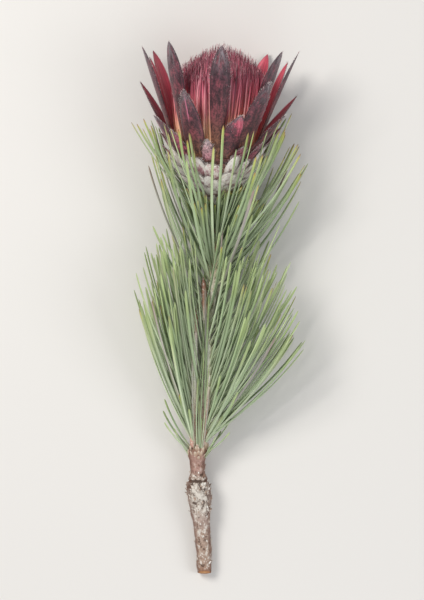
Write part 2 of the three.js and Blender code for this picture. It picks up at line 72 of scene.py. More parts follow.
# The three shoots. side is -1 on the left and 1 on the right, end is the y where the shoot ends, and x,
# lift above the stem's axis and radius run along y. leafed is the y of a needle's root and young its share
# of the full length, both against its share of the shoot's needles. seed starts their draws.
SHOOTS = {
    "flowering_shoot": {
        "seed": 100, "needles": 120, "side": 0, "end": 298.7,
        "leafed": [(0, 108), (0.14, 130), (0.28, 160), (0.36, 212), (0.6, 240), (1, 288)],
        "young": [(0, 1), (0.7, 1), (1, 0.88)],
        "x": [(100, -5.2), (122, -3.2), (154, 0), (194, 3.2), (234, 6.4), (262, 8.8), (286, 7), (299, 5.8)],
        "lift": [(100, -3.4), (140, -2.6), (170, -1.2), (200, 0), (299, 0)],
        "radius": [(100, 2.7), (140, 2.6), (200, 2.4), (280, 2.4), (292, 3), (299, 4)],
    },
    "left_side_shoot": {
        "seed": 520, "needles": 100, "side": -1, "end": 214,
        "leafed": [(0, 103), (0.4, 126), (0.8, 158), (1, 202)],
        "young": [(0, 1), (0.7, 1), (1, 0.62)],
        "x": [(100, -8.9), (131, -8.6), (170, -8), (214, -6.6)],
        "lift": [(100, 1.9), (150, 3), (214, 4)],
        "radius": [(100, 2.6), (170, 2.2), (214, 1.5)],
    },
    "right_side_shoot": {
        "seed": 900, "needles": 86, "side": 1, "end": 236,
        "leafed": [(0, 103), (0.4, 128), (0.8, 162), (1, 218)],
        "young": [(0, 1), (0.7, 1), (1, 0.62)],
        "x": [(100, -2), (120, 0.8), (154, 2.4), (186, 1.6), (236, -1.4)],
        "lift": [(100, 1.9), (140, 3.8), (170, 5.8), (236, 6.6)],
        "radius": [(100, 2.6), (170, 2.6), (222, 2.4), (236, 1.6)],
    },
}

# The needle leaves
NEEDLE_RADIUS = 1.05
NEEDLE_LENGTH = (102, 122)  # the shortest and the longest
NEEDLE_LEAN = [(104, 31), (130, 29), (165, 26), (216, 31.5), (250, 31), (288, 30)]  # degrees against y
RIGHT_BIAS = [(104, 0.22), (165, 0.08), (216, 0.1), (288, 0.06)]  # this share more on the right
LEAN_SPREAD = (3.2, 0.08)  # degrees either way, and what each further try adds
TURN_SPREAD = (22, 4)  # the same round the shoot
FAN = 0.3  # radians that a lying brush turns its needles towards its two sides
PARTING = 0.45  # radians from straight up within which no needle stands
CROWDED = 1.3  # radians from straight up towards the other shoots, where a side shoot bears none
ROOT_DEPTH = 0.45  # a needle starts this share of the shoot's radius from the axis
FLATTEN = 0.82  # height of a brush against its width
OUT_CURVE = 1.28  # a needle leaves its shoot this much faster than it goes on
ALONG_CURVE = 0.88  # and runs along it this much slower
NEEDLE_SPACING = 2.4  # least distance between needles of two shoots
SAME_SHOOT_SPACING = 2.1
OFF_STEM = 0.3  # share of its first stretch where a needle is among its neighbours' roots
NEEDLE_TRIES = 60
TRY_SEEDS = 10000  # each further try draws this far on
NEEDLE_STATIONS = (0, 0.34, 0.74, 1)  # the shares of its length between which it is tested
FLOOR_LAYERS = 6  # needles that the surface presses lie in this many layers
FLOOR_LAYER = 2.3
FLOOR_CLEAR = 0.3
STEM_CLEAR = 0.5
CHORD_SLACK = 1.2  # a straight stretch may cut this far into the head's room
# Radius of the room that needles leave for the head, against height above its base
HEAD_ROOM = [
    (-9, 4), (-4, 7.5), (0, 11.5), (6, 20.5), (12, 27), (20, 33), (30, 38.5), (40, 42), (50, 45),
    (60, 49), (70, 54),
]

# The flower head, in its own frame: radius from the head's axis against height above its base
RECEPTACLE = [(0, 4.6), (5, 12), (12, 18.5), (20, 24.5), (28, 29), (34, 31.5)]
GOLDEN_ANGLE = 137.508
BRACT_ZERO = 4  # degrees from straight up to bract 0
# Bracts are numbered down one spiral from the inmost, and scales go on from them
FIRST_BRACT = -7
LAST_BRACT = 21
LAST_SCALE = 54
MISSING_BRACTS = (-5,)
BRACTS_BETWEEN = (16.5, 17.5, 19.5, 20.5, 21.5, 22.5)  # small ones that stand between two others
SCALES_BETWEEN = tuple(n + 0.5 for n in range(24, 54))
BETWEEN_INSET = 1.5  # the small ones are this much further in and lower
# Root height, tip height, distance from the axis and half width, against the bract's number
BRACT_ROOT = [(-7, 31.5), (4, 30), (8, 27.5), (14, 25), (21, 22), (22, 18.5), (34, 12), (45, 6), (58, 1)]
BRACT_TIP = [
    (-7, 122), (0, 128), (4, 126), (5, 100), (8, 90.5), (11, 70), (14, 70), (16, 58), (18, 46), (21, 50),
    (24, 40), (34, 28), (45, 17), (58, 7),
]
SHORT_BEHIND = 0.15  # the bracts on the underside are this share shorter
# Degrees that some bracts stand off the even spiral
TURNED_BRACTS = {-7: 12, 0: -3, 1: 13, 5: 9, 7: -12, 8: -12, 13: 9, 16: -11, 18: -9, 21: -7}
BRACT_REACH = [
    (-7, 52), (0, 55), (4, 56), (5, 57), (8, 56), (11, 47), (14, 47), (18, 38), (21, 38.5), (24, 37),
    (34, 32.5), (45, 25.5), (58, 16),
]
BRACT_HALF_WIDTH = [
    (-7, 7.2), (0, 8.5), (4, 8.4), (5, 9.8), (8, 10.4), (13, 11.2), (16, 8.6), (18, 7.2), (21, 5.6),
    (30, 5.8), (45, 4.8), (58, 3.6),
]
# Share of its length at which a bract is widest
BRACT_WIDEST = [(4, 0.74), (6, 0.48), (10, 0.48), (13, 0.62), (16, 0.52), (22, 0.56)]
SIDE_REACH = 0.15  # the head is this share wider than it is high
BRACT_CUP = 0.22  # how hollow a bract is across
SCALE_CUP = 1.8 * BRACT_CUP
ROOT_INSET = 1.2  # bracts start this deep in the receptacle
BRACT_BEND = (0.42, 0.42)  # shares of its reach and rise where a bract's control point is
SCALE_BEND = (0.62, 0.45)
AZIMUTH_SPREAD = 5  # degrees
TIP_SPREAD = 0.03
REACH_SPREAD = 0.04


# Numbers and curves


def through(pairs, at):
    """A smooth curve through a list of (position, value) pairs."""
    last = len(pairs) - 1
    if at <= pairs[0][0]:
        return pairs[0][1]
    if at >= pairs[last][0]:
        return pairs[last][1]
    i = 0
    while at > pairs[i + 1][0]:
        i += 1

    def slope(k):
        a, b = pairs[max(k - 1, 0)], pairs[min(k + 1, last)]
        return (b[1] - a[1]) / (b[0] - a[0])

    (x0, y0), (x1, y1) = pairs[i], pairs[i + 1]
    width = x1 - x0
    t = (at - x0) / width
    start = t * (1 - t) * (1 - t) * width * slope(i)
    finish = t * t * (t - 1) * width * slope(i + 1)
    return y0 + (y1 - y0) * t * t * (3 - 2 * t) + start + finish


def draw(index, channel):
    """A repeatable number from 0 to 1 for each index and channel."""
    word = 0xFFFFFFFF
    h = ((index + 1) * 0x9E3779B1 & word) ^ ((channel + 1) * 0x85EBCA6B & word)
    h = (h ^ (h >> 15)) * 0x2C1B3C6D & word
    h = (h ^ (h >> 12)) * 0x297A2D39 & word
    return (h ^ (h >> 15)) / 4294967296


def spread(index, channel):
    """The same, from -1 to 1."""
    return 2 * draw(index, channel) - 1


def drawn_from(span, index, channel):
    """The same, from the least to the most of a span."""
    least, most = span
    return least + (most - least) * draw(index, channel)


def unit(v):
    v = np.asarray(v, float)
    return v / np.linalg.norm(v, axis=-1, keepdims=True)


def axis_height(y):
    return CUT_END_HEIGHT + RISE * y


def pressed(z, least):
    """A height that stays above the least one, with a soft bend where the surface presses."""
    above = z - least
    return least + 0.5 * (above + np.sqrt(above * above + FLOOR_BEND * FLOOR_BEND))


UP = np.array((0, 0, 1.0))
HEAD_AXIS = unit((HEAD_LEAN, 1, RISE))
HEAD_UP = unit(UP - HEAD_AXIS * HEAD_AXIS[2])
HEAD_RIGHT = np.cross(HEAD_AXIS, HEAD_UP)
HEAD_BASE = np.array((through(SHOOTS["flowering_shoot"]["x"], HEAD_Y), HEAD_Y, axis_height(HEAD_Y)))


def head_point(radius, azimuth, height):
    """Points of the head: azimuth in radians from straight up towards +x, height above its base."""
    radius, azimuth, height = (np.asarray(v, float)[..., None] for v in (radius, azimuth, height))
    sideways = HEAD_RIGHT * np.sin(azimuth) + HEAD_UP * np.cos(azimuth)
    return HEAD_BASE + HEAD_AXIS * height + sideways * radius


def cut_end_shift():
    """Where the stem's own frame starts in the row frame: the ring of the cut end shows it."""
    low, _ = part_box("woody_stem")
    lean_back = WOOD_RADIUS[0][1] * CUT_SLANT / math.hypot(1, CUT_SLANT)
    ring_end = low.y + (2 * lean_back + 0.1) * MM
    ring = [v.co.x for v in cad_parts["woody_stem"].data.vertices if v.co.y < ring_end]
    x = (min(ring) + max(ring)) / 2 / MM - WOOD_X[0][1]
    return np.array((x, low.y / MM + lean_back, 0))


SHIFT = cut_end_shift()


# Pieces


def in_scene(name, data):
    made = bpy.data.objects.new(name, data)
    bpy.context.scene.collection.objects.link(made)
    return made


class Shape:
    """The points and faces of one piece, with the values that its materials read at each point."""

    READ = ("along", "across", "drawn", "marked")

    def __init__(self):
        self.points, self.faces, self.slots = [], [], []
        self.values = {name: [] for name in self.READ}
        self.count = 0

    def add(self, points, faces, along, across, drawn, slots=0, marked=0.0):
        """Adds points and faces. Each value is one for all these points or one for each."""
        points = np.asarray(points, float).reshape(-1, 3)
        self.points.append(points)
        self.faces += [tuple(i + self.count for i in face) for face in faces]
        self.slots += [slots] * len(faces) if isinstance(slots, int) else list(slots)
        for name, value in zip(self.READ, (along, across, drawn, marked)):
            self.values[name].append(np.broadcast_to(np.asarray(value, float), (len(points),)))
        self.count += len(points)

    def piece(self, name, materials, slot, *nodes):
        """The finished piece. It rides on the only body and stands for the CAD nodes named."""
        mesh = bpy.data.meshes.new(name)
        points = (np.concatenate(self.points) + SHIFT) * MM
        mesh.from_pydata(points.tolist(), [], self.faces)
        for material in materials:
            mesh.materials.append(material)
        mesh.polygons.foreach_set("material_index", self.slots)
        mesh.polygons.foreach_set("use_smooth", [True] * len(self.faces))
        for key, parts in self.values.items():
            attribute = mesh.attributes.new(key, "FLOAT", "POINT")
            attribute.data.foreach_set("value", np.concatenate(parts).astype(np.float32))
        mesh.update()
        piece = in_scene(name, mesh)
        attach(piece, "root")
        if nodes:
            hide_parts(*nodes)


def tube_faces(rings, sides, open_start=False):
    """Faces of a tube whose points are rings of sides points, closed flat at both ends."""
    faces = []
    for i in range(rings - 1):
        for k in range(sides):
            n = (k + 1) % sides
            low, high = i * sides, (i + 1) * sides
            faces.append((low + k, low + n, high + n, high + k))
    if not open_start:
        faces.append(tuple(range(sides - 1, -1, -1)))
    faces.append(tuple(range((rings - 1) * sides, rings * sides)))
    return faces


def ribbon_frame(line, outward):
    """For each point of a line: the side across it and the face towards outward."""
    along = unit(np.gradient(line, axis=0))
    side = unit(np.cross(along, outward))
    return side, np.cross(side, along)


def strand(shape, line, outward, half_widths, half_depths, sides, drawn, along=None, marked=0.0):
    """Adds a tapered strand with an oval section, its wide side across outward."""
    side, face = ribbon_frame(line, outward)
    angles = 2 * np.pi * np.arange(sides) / sides
    wide = np.asarray(half_widths)[:, None, None] * np.cos(angles)[None, :, None]
    deep = np.asarray(half_depths)[:, None, None] * np.sin(angles)[None, :, None]
    points = line[:, None] + side[:, None] * wide + face[:, None] * deep
    along = np.repeat(np.linspace(0, 1, len(line)) if along is None else along, sides)
    across = np.tile(np.cos(angles), len(line))
    shape.add(points, tube_faces(len(line), sides), along, across, drawn, marked=marked)


def slab(shape, grid, thickness, drawn, slots=(0, 1, 0), marked=0.0):
    """Adds a blade with the given middle surface, rows from root to tip. slots are the materials of its
    outer face, its inner face and its edge."""
    rows, columns = grid.shape[:2]
    normal = unit(np.cross(np.gradient(grid, axis=1), np.gradient(grid, axis=0)))
    outer = grid + normal * thickness[..., None] / 2
    inner = grid - normal * thickness[..., None] / 2
    back = rows * columns
    faces, kinds = [], []
    for i in range(rows - 1):
        for j in range(columns - 1):
            a, b = i * columns + j, i * columns + j + 1
            c, d = b + columns, a + columns
            faces += [(a, b, c, d), (a + back, d + back, c + back, b + back)]
            kinds += [slots[0], slots[1]]
    rim = list(range(columns - 1))
    rim += [i * columns + columns - 1 for i in range(rows - 1)]
    rim += [(rows - 1) * columns + j for j in range(columns - 1, 0, -1)]
    rim += [i * columns for i in range(rows - 1, 0, -1)]
    for k, a in enumerate(rim):
        b = rim[(k + 1) % len(rim)]
        faces.append((a, a + back, b + back, b))
        kinds.append(slots[2])
    along = np.tile(np.repeat(np.linspace(0, 1, rows), columns), 2)
    across = np.tile(np.linspace(-1, 1, columns), 2 * rows)
    shape.add(np.concatenate([outer, inner]), faces, along, across, drawn, kinds, marked)


def blade_shares(rows, columns):
    """The shares of a blade's length, 0 to 1, and of its half width, -1 to 1."""
    return np.linspace(0, 1, rows)[:, None], np.linspace(-1, 1, columns)[None]


def blade_thickness(rows, columns, full):
    """Full in the middle, thinner to the edges and to the tip."""
    v, u = blade_shares(rows, columns)
    return full * (1 - 0.75 * np.abs(u) ** 3) * (1 - 0.55 * v**4)


# Materials

GRAIN_RANGE = 97.0  # the drawn values of blades spread their grain over this range of noise


def linear(hex_colour):
    """A colour for a shader from its usual six digits."""
    parts = [int(hex_colour[i : i + 2], 16) / 255 for i in (0, 2, 4)]
    return [c / 12.92 if c <= 0.04045 else ((c + 0.055) / 1.055) ** 2.4 for c in parts] + [1]


class Finish:
    """A material, with short forms for the nodes that paint it."""

    def __init__(self, name, roughness=0.6, specular=0.5, sheen=0.0):
        self.material = bpy.data.materials.new(name)
        self.material.use_nodes = True
        self.tree = self.material.node_tree
        self.shader = self.tree.nodes["Principled BSDF"]
        self.shader.inputs["Roughness"].default_value = roughness
        self.shader.inputs["Specular IOR Level"].default_value = specular
        self.shader.inputs["Sheen Weight"].default_value = sheen
        self.shader.inputs["Sheen Roughness"].default_value = 0.5

    def feed(self, socket, value):
        """Links a socket to another one, or sets it to a number or a colour."""
        if isinstance(value, bpy.types.NodeSocket):
            self.tree.links.new(value, socket)
        else:
            socket.default_value = linear(value) if isinstance(value, str) else value

    def node(self, kind, **inputs):
        made = self.tree.nodes.new(kind)
        for name, value in inputs.items():
            self.feed(made.inputs[name.replace("_", " ")], value)
        return made

    def read(self, name):
        """The value that each point of the mesh holds under this name."""
        made = self.node("ShaderNodeAttribute")
        made.attribute_name = name
        return made.outputs["Fac"]

    def math(self, operation, *values):
        made = self.node("ShaderNodeMath")
        made.operation = operation
        for socket, value in zip(made.inputs, values):
            self.feed(socket, value)
        return made.outputs[0]

    def times(self, a, b):
        return self.math("MULTIPLY", a, b)

    def minus(self, a, b):
        return self.math("SUBTRACT", a, b)

    def away(self, value, centre=None):
        """How far a value is from the centre, or from 0."""
        return self.math("ABSOLUTE", value if centre is None else self.minus(value, centre))

    def another(self, drawn, factor):
        """Another number from 0 to 1 for each blade, made out of its drawn one."""
        return self.math("FRACT", self.times(drawn, factor))

    def joined(self, x, y, z):
        return self.node("ShaderNodeCombineXYZ", X=x, Y=y, Z=z).outputs[0]

    def noise(self, vector, scale, detail, roughness, distortion=0.0):
        return self.node(
            "ShaderNodeTexNoise", Vector=vector, Scale=scale, Detail=detail, Roughness=roughness,
            Distortion=distortion,
        ).outputs["Fac"]

    def in_space(self, scale, detail=3.0, roughness=0.55, distortion=0.0):
        """Noise in the flower's own space, in waves of about 1 / scale of a metre."""
        place = self.node("ShaderNodeTexCoord").outputs["Object"]
        return self.noise(place, scale, detail, roughness, distortion)

    def on_blade(self, across_scale, along_scale, detail=3.0, roughness=0.55):
        """Noise on the blade itself, stretched along it, and different for each blade."""
        x = self.times(self.read("across"), across_scale)
        y = self.times(self.read("along"), along_scale)
        place = self.joined(x, y, self.times(self.read("drawn"), GRAIN_RANGE))
        return self.noise(place, 1.0, detail, roughness)

    def ramp(self, factor, stops):
        """A colour ramp through (place, colour) stops."""
        made = self.node("ShaderNodeValToRGB", Fac=factor)
        elements = made.color_ramp.elements
        while len(elements) < len(stops):
            elements.new(0.5)
        for element, (place, colour) in zip(elements, stops):
            element.position = place
            element.color = linear(colour)
        return made.outputs["Color"]

    def band(self, value, low, high):
        """0 below low, 1 above high, and smooth in between. Low may be the greater."""
        made = self.node("ShaderNodeMapRange", Value=value, From_Min=low, From_Max=high)
        made.interpolation_type = "SMOOTHSTEP"
        return made.outputs["Result"]

    def mix(self, factor, a, b, blend="MIX"):
        made = self.node("ShaderNodeMix")
        made.data_type = "RGBA"
        made.blend_type = blend
        colours = [s for s in made.inputs if s.type == "RGBA"]
        for socket, value in zip([made.inputs["Factor"], *colours], (factor, a, b)):
            self.feed(socket, value)
        return next(s for s in made.outputs if s.type == "RGBA")

    def tint(self, colour, mask, share, other):
        """The colour, with this share of another one where the mask is 1."""
        return self.mix(self.times(mask, share), colour, other)

    def shade(self, colour, value, low, high):
        """The colour, darker or lighter by a value from 0 to 1."""
        gain = self.math("MULTIPLY_ADD", value, high - low, low)
        return self.mix(1.0, colour, self.joined(gain, gain, gain), "MULTIPLY")

    def paint(self, colour, height, strength, distance, roughness=None):
        """The finished material, with a bump from a height and a distance in millimetres."""
        self.feed(self.shader.inputs["Base Color"], colour)
        bump = self.node("ShaderNodeBump", Height=height, Strength=strength, Distance=distance * MM)
        self.feed(self.shader.inputs["Normal"], bump.outputs["Normal"])
        if roughness is not None:
            self.feed(self.shader.inputs["Roughness"], roughness)
        return self.material


def needle_finish():
    """Grey-green leaf with fine streaks, a yellow-green end and a brown point, its edges lightened by a
    painted highlight. marked is the share of yellow in its end, and a few leaves are purplish grey."""
    f = Finish("needle_leaf", 0.48, 0.45)
    along, across, drawn, yellow = (f.read(name) for name in Shape.READ)
    streaks = f.on_blade(6.0, 2.0, 4.0)
    green = f.ramp(
        along,
        [(0, "F0E8CC"), (0.05, "D2D4B2"), (0.11, "AEBB98"), (0.3, "9CAD8A"), (0.75, "94A87C"),
         (0.9, "9BAC68"), (0.965, "ABAE58"), (0.99, "A9824A"), (1, "6E4630")],
    )
    pale = f.ramp(
        along,
        [(0, "F2EBD2"), (0.06, "D6D9BC"), (0.12, "BECAAA"), (0.6, "B2C09E"), (0.9, "B3BD88"),
         (0.975, "B8AE66"), (1, "7A5238")],
    )
    colour = f.mix(f.band(drawn, 0.35, 0.9), green, pale)
    stays_green = f.band(f.minus(f.another(drawn, 5.7), f.times(yellow, 0.75)), 0.02, 0.12)
    colour = f.tint(colour, f.times(stays_green, f.band(along, 0.8, 0.9)), 0.92, "A0B27C")
    purple = f.ramp(along, [(0, "B3A893"), (0.4, "A8A699"), (0.8, "A9A29C"), (1, "A08A80")])
    colour = f.mix(f.band(f.another(drawn, 7.3), 0.94, 0.98), colour, purple)
    # Painted highlight: each needle's edges are lightened towards pale grey-green, as where light catches
    # them.
    colour = f.tint(colour, f.band(f.away(across), 0.72, 1.0), 0.45, "C9D3AC")
    colour = f.shade(colour, streaks, 0.5, 1.45)
    blotches = f.on_blade(0.6, 9.0, 2.0)
    colour = f.shade(colour, blotches, 0.8, 1.18)
    colour = f.shade(colour, f.another(drawn, 11.9), 0.78, 1.24)
    return f.paint(colour, streaks, 0.35, 0.2, f.math("MULTIPLY_ADD", streaks, 0.3, 0.34))


def shoot_finish():
    """Cream shoot bark with pinkish lower and brown upper stretches. The side shoots have a drawn value of
    1 and brown ends."""
    f = Finish("shoot_bark", 0.7, 0.35)
    along, drawn = f.read("along"), f.read("drawn")
    main = f.ramp(
        along,
        [(0, "C4A090"), (0.12, "D6C2B0"), (0.26, "E6E2D0"), (0.5, "F0EEDF"), (0.66, "ECE4D2"),
         (0.76, "E4C6AE"), (0.86, "DCA484"), (1, "CCAC94")],
    )
    side = f.ramp(
        along,
        [(0, "C09484"), (0.2, "D2B4A2"), (0.36, "E2DAC8"), (0.5, "F4F3E4"), (0.74, "F2EEE2"),
         (0.84, "B48E78"), (1, "8A5C4C")],
    )
    colour = f.mix(f.band(drawn, 0.4, 0.6), main, side)
    colour = f.shade(colour, f.in_space(700.0, 5.0, 0.65), 0.62, 1.6)
    patches = f.in_space(420.0, 4.0, 0.7)
    colour = f.tint(colour, f.band(patches, 0.54, 0.64), 0.75, "F0EBE2")
    colour = f.tint(colour, f.band(patches, 0.42, 0.34), 0.6, "7A5240")
    return f.paint(colour, patches, 0.8, 0.6)


def bark_finish():
    """Pale flaky bark: beige-pink below, whitish grey on the knob, pinkish on the neck, and painted shade
    that darkens it towards its left and right sides seen from above. drawn is the height of the flakes and
    cracks, which are pale above and dark brown below: painted shade in the cracks and in the crease."""
    f = Finish("bark", 0.85, 0.25)
    along, across, drawn = f.read("along"), f.read("across"), f.read("drawn")
    base = f.ramp(
        along,
        [(0, "9A745E"), (0.05, "A58A78"), (0.25, "AC9484"), (0.42, "B09A8E"), (0.52, "B8ACA0"),
         (0.7, "BCB2A6"), (0.76, "AC988A"), (0.82, "B08C80"), (0.92, "A88578"), (1, "94725F")],
    )
    flakes = f.in_space(460.0, 6.0, 0.75, 0.8)
    fine = f.in_space(1500.0, 4.0, 0.6)
    colour = f.shade(base, flakes, 0.5, 1.5)
    colour = f.tint(colour, f.times(f.band(drawn, 0.52, 0.72), f.band(along, 0.95, 0.7)), 0.75, "E4DDD2")
    colour = f.tint(colour, f.band(flakes, 0.58, 0.68), 0.6, "E8E2D8")
    # Painted shade: the low parts of the bark, in its cracks and in the crease, turn dark brown.
    colour = f.tint(colour, f.band(drawn, 0.4, 0.2), 0.85, "4A362C")
    colour = f.tint(colour, f.band(flakes, 0.42, 0.3), 0.7, "5A4236")
    # Painted shade: the bark turns darker brown towards its left and right sides seen from above, where the
    # light falls off.
    colour = f.tint(colour, f.band(f.away(across), 0.5, 1.0), 0.72, "6E4A3C")
    height = f.math("MULTIPLY_ADD", flakes, 0.8, f.times(fine, 0.3))
    return f.paint(colour, height, 0.9, 1.0)


def cut_finish():
    """The cut end: tan wood with fine rings, a dark bark rim and a dark pith. across is the share of the
    way out from its middle."""
    f = Finish("cut_wood", 0.8, 0.3)
    out = f.read("across")
    wobble = f.in_space(300.0, 3.0)
    rings = f.math("SINE", f.times(f.math("MULTIPLY_ADD", wobble, 0.12, out), 42.0))
    colour = f.ramp(
        out,
        [(0, "8C5F3C"), (0.1, "D9B384"), (0.2, "C08A5C"), (0.78, "B98153"), (0.88, "8F5B3C"),
         (1, "6A4836")],
    )
    colour = f.shade(colour, f.band(rings, -1.0, 1.0), 0.82, 1.12)
    rays = f.in_space(1500.0, 4.0)
    return f.paint(f.shade(colour, rays, 0.7, 1.3), rays, 0.5, 0.4)


def bract_outer_finish():
    """The outside of a bract: wine purple with a silver-grey bloom above and a painted highlight down the
    middle of its upper part, pinker on the outer ones, which have the greater drawn values. Marked ones
    have a painted highlight in pink: a stripe (1) or a bright patch (2)."""
    f = Finish("bract_outside", 0.5, 0.45, sheen=0.15)
    along, across, drawn, marked = (f.read(name) for name in Shape.READ)
    far = f.away(across)
    wine = f.ramp(
        along,
        [(0, "8A6042"), (0.16, "764C3A"), (0.32, "5C3133"), (0.6, "542733"), (0.82, "4A2A33"),
         (1, "402B31")],
    )
    pink = f.ramp(along, [(0, "98605A"), (0.3, "98465A"), (0.6, "A85068"), (0.85, "B06474"), (1, "C08C90")])
    pale = f.ramp(along, [(0, "A0706A"), (0.4, "B48088"), (0.8, "D0B2B4"), (1, "E4D6D2")])
    colour = f.mix(f.band(drawn, 0.5, 0.7), wine, pink)
    colour = f.mix(f.band(drawn, 0.82, 0.95), colour, pale)
    fibres = f.on_blade(5.0, 2.6, 5.0, 0.66)
    colour = f.shade(colour, fibres, 0.25, 1.6)
    mottle = f.on_blade(2.6, 10.0, 4.0, 0.72)
    rosy = f.times(f.band(mottle, 0.49, 0.6), f.band(along, 0.14, 0.42))
    colour = f.tint(colour, rosy, 0.45, "90444E")
    colour = f.tint(colour, f.band(mottle, 0.49, 0.4), 0.7, "26121A")
    speckle = f.in_space(620.0, 2.0, 0.6)
    colour = f.shade(colour, f.band(speckle, 0.4, 0.6), 0.62, 1.34)
    hairs = f.band(f.on_blade(4.2, 11.0, 5.0, 0.75), 0.38, 0.64)
    colour = f.tint(colour, f.times(f.band(along, 0.5, 0.95), hairs), 0.8, "7C7277")
    # Painted highlight: a lighter silver-grey patch down the middle of the upper part, where the bract's
    # sheen catches the light, broken up by the hairs.
    silver = f.times(f.band(far, 0.6, 0.1), f.times(f.band(along, 0.72, 0.88), hairs))
    colour = f.tint(colour, silver, 0.55, "ADA4A8")
    # Painted highlights: a pink stripe along the middle of bracts marked 1, and a bright pink patch in the
    # upper part of those marked 2.
    streak = f.math("MULTIPLY_ADD", f.minus(fibres, 0.5), 0.2, far)
    stripe = f.times(f.band(streak, 0.09, 0.02), f.band(f.away(along, 0.66), 0.2, 0.1))
    stripe = f.times(stripe, f.band(f.away(marked, 1.0), 0.4, 0.2))
    colour = f.tint(colour, stripe, 0.8, "C8708A")
    off_spot = f.math("ADD", f.away(across, 0.1), f.times(f.away(along, 0.76), 3.2))
    off_spot = f.math("ADD", off_spot, f.times(f.minus(mottle, 0.5), 2.6))
    spot = f.times(f.band(off_spot, 0.85, 0.4), f.band(marked, 1.5, 1.8))
    spot = f.times(spot, f.band(fibres, 0.3, 0.55))
    colour = f.tint(colour, spot, 0.85, f.mix(f.band(fibres, 0.45, 0.7), "C84862", "EE90A0"))
    colour = f.tint(colour, f.band(far, 0.84, 0.97), 0.5, "2E141C")
    colour = f.tint(colour, f.band(along, 0.96, 1.0), 0.6, "CDBFBC")
    return f.paint(colour, mottle, 0.7, 0.8)


def bract_inner_finish():
    """The inside of a bract: bright pink-red with fine fibres, orange-pink below, darker at the tip, and
    with painted shade along its middle fold.
    """
    f = Finish("bract_inside", 0.45, 0.5, sheen=0.1)
    stops = [(0, "D88C70"), (0.25, "D86674"), (0.55, "DE586C"), (0.85, "D04A60"), (1, "A03A4E")]
    fibres = f.on_blade(4.0, 3.0, 5.0, 0.65)
    colour = f.shade(f.ramp(f.read("along"), stops), fibres, 0.2, 1.7)
    far = f.away(f.read("across"))
    # Painted shade: a darker line down the middle, in the bract's fold.
    colour = f.tint(colour, f.band(far, 0.12, 0.0), 0.5, "8A2C3C")
    colour = f.tint(colour, f.band(far, 0.86, 1.0), 0.5, "E8A0A0")
    return f.paint(colour, fibres, 0.5, 0.5)


def scale_finish():
    """Silvery down over mauve pink: each scale has more or less of it, and most at its tip and edges.
    The pink darkens and the down thins towards the root, which is painted shade where the scales overlap.
    """
    f = Finish("scale_down", 0.8, 0.3, sheen=0.5)
    along, across, drawn = f.read("along"), f.read("across"), f.read("drawn")
    # Mauve pink that darkens towards the root: the scale's own pink, with painted shade where the scales
    # overlap.
    skin_and_root_shade = f.ramp(along, [(0, "7C5A50"), (0.25, "8E5F60"), (0.6, "B27480"), (1, "C89A9C")])
    patches = f.on_blade(1.7, 3.6, 4.0, 0.7)
    bare = f.math("MULTIPLY_ADD", f.another(drawn, 5.1), -0.2, 0.66)
    cover = f.minus(patches, bare)
    cover = f.math("MULTIPLY_ADD", f.band(f.away(across), 0.3, 1.0), 0.2, cover)
    # Less down towards the root lets the darkened pink show there, part of the same painted shade.
    cover = f.math("MULTIPLY_ADD", f.band(along, 0.1, 0.9), 0.24, cover)
    down = f.on_blade(3.6, 6.0, 5.0, 0.75)
    white = f.ramp(down, [(0.25, "CDBDB2"), (0.42, "EADFD4"), (0.56, "FAF4EC"), (0.8, "FFFCF6")])
    colour = f.mix(f.band(cover, -0.1, 0.12), skin_and_root_shade, white)
    return f.paint(f.shade(colour, down, 0.8, 1.2), down, 0.9, 1.0)


def floret_finish():
    """Silky fibres: orange-brown at the base, pink-red above and dark wine at the tips."""
    f = Finish("floret", 0.5, 0.5, sheen=0.3)
    along, drawn = f.read("along"), f.read("drawn")
    base = f.ramp(
        along,
        [(0, "F0B478"), (0.24, "FFD8A2"), (0.38, "FABE98"), (0.52, "E88E88"), (0.8, "DA7084"),
         (0.93, "C05A70"), (1, "6E2C3E")],
    )
    pale = [(0, "E0B47C"), (0.35, "F4CCA4"), (0.56, "ECA8A6"), (0.9, "D88494"), (1, "6A2C40")]
    dark = [(0, "DCA870"), (0.3, "DCA684"), (0.56, "9E4A5A"), (0.9, "64263A"), (1, "30141E")]
    colour = f.mix(f.band(drawn, 0.55, 0.85), base, f.ramp(along, pale))
    colour = f.mix(f.band(drawn, 0.22, 0.06), colour, f.ramp(along, dark))
    fibres = f.on_blade(1.2, 7.0, 4.0, 0.65)
    return f.paint(f.shade(colour, fibres, 0.5, 1.5), fibres, 0.4, 0.3)


def beard_finish():
    """Woolly hairs at the floret tips, from dark wine to a few pale ones."""
    f = Finish("beard", 0.7, 0.4, sheen=0.2)
    stops = [(0, "3A1822"), (0.2, "7E3248"), (0.42, "C4667A"), (0.75, "E298A4"), (1, "ECD4D0")]
    colour = f.shade(f.ramp(f.read("drawn"), stops), f.read("along"), 1.1, 0.8)
    return f.paint(colour, f.in_space(4000.0), 0.2, 0.1)


def silver_finish():
    """White silky hairs on the tips and edges of bracts and scales."""
    f = Finish("silver_hair", 0.6, 0.5, sheen=0.3)
    colour = f.ramp(f.read("drawn"), [(0, "C4B8B4"), (0.5, "E0D8D2"), (1, "F8F5F0")])
    colour = f.shade(colour, f.in_space(3000.0), 0.85, 1.15)
    return f.paint(colour, f.read("along"), 0.1, 0.1)


def bud_scale_finish():
    """Small dry scales: brown with a pale papery edge."""
    f = Finish("dry_scale", 0.8, 0.3)
    colour = f.ramp(f.read("along"), [(0, "9A7A66"), (0.5, "B59A84"), (0.85, "CDBBA6"), (1, "E2D6C8")])
    grain = f.on_blade(5.0, 4.0, 4.0)
    colour = f.shade(colour, grain, 0.6, 1.35)
    colour = f.tint(colour, f.band(f.away(f.read("across")), 0.6, 1.0), 0.4, "E0D2C4")
    return f.paint(colour, grain, 0.5, 0.4)


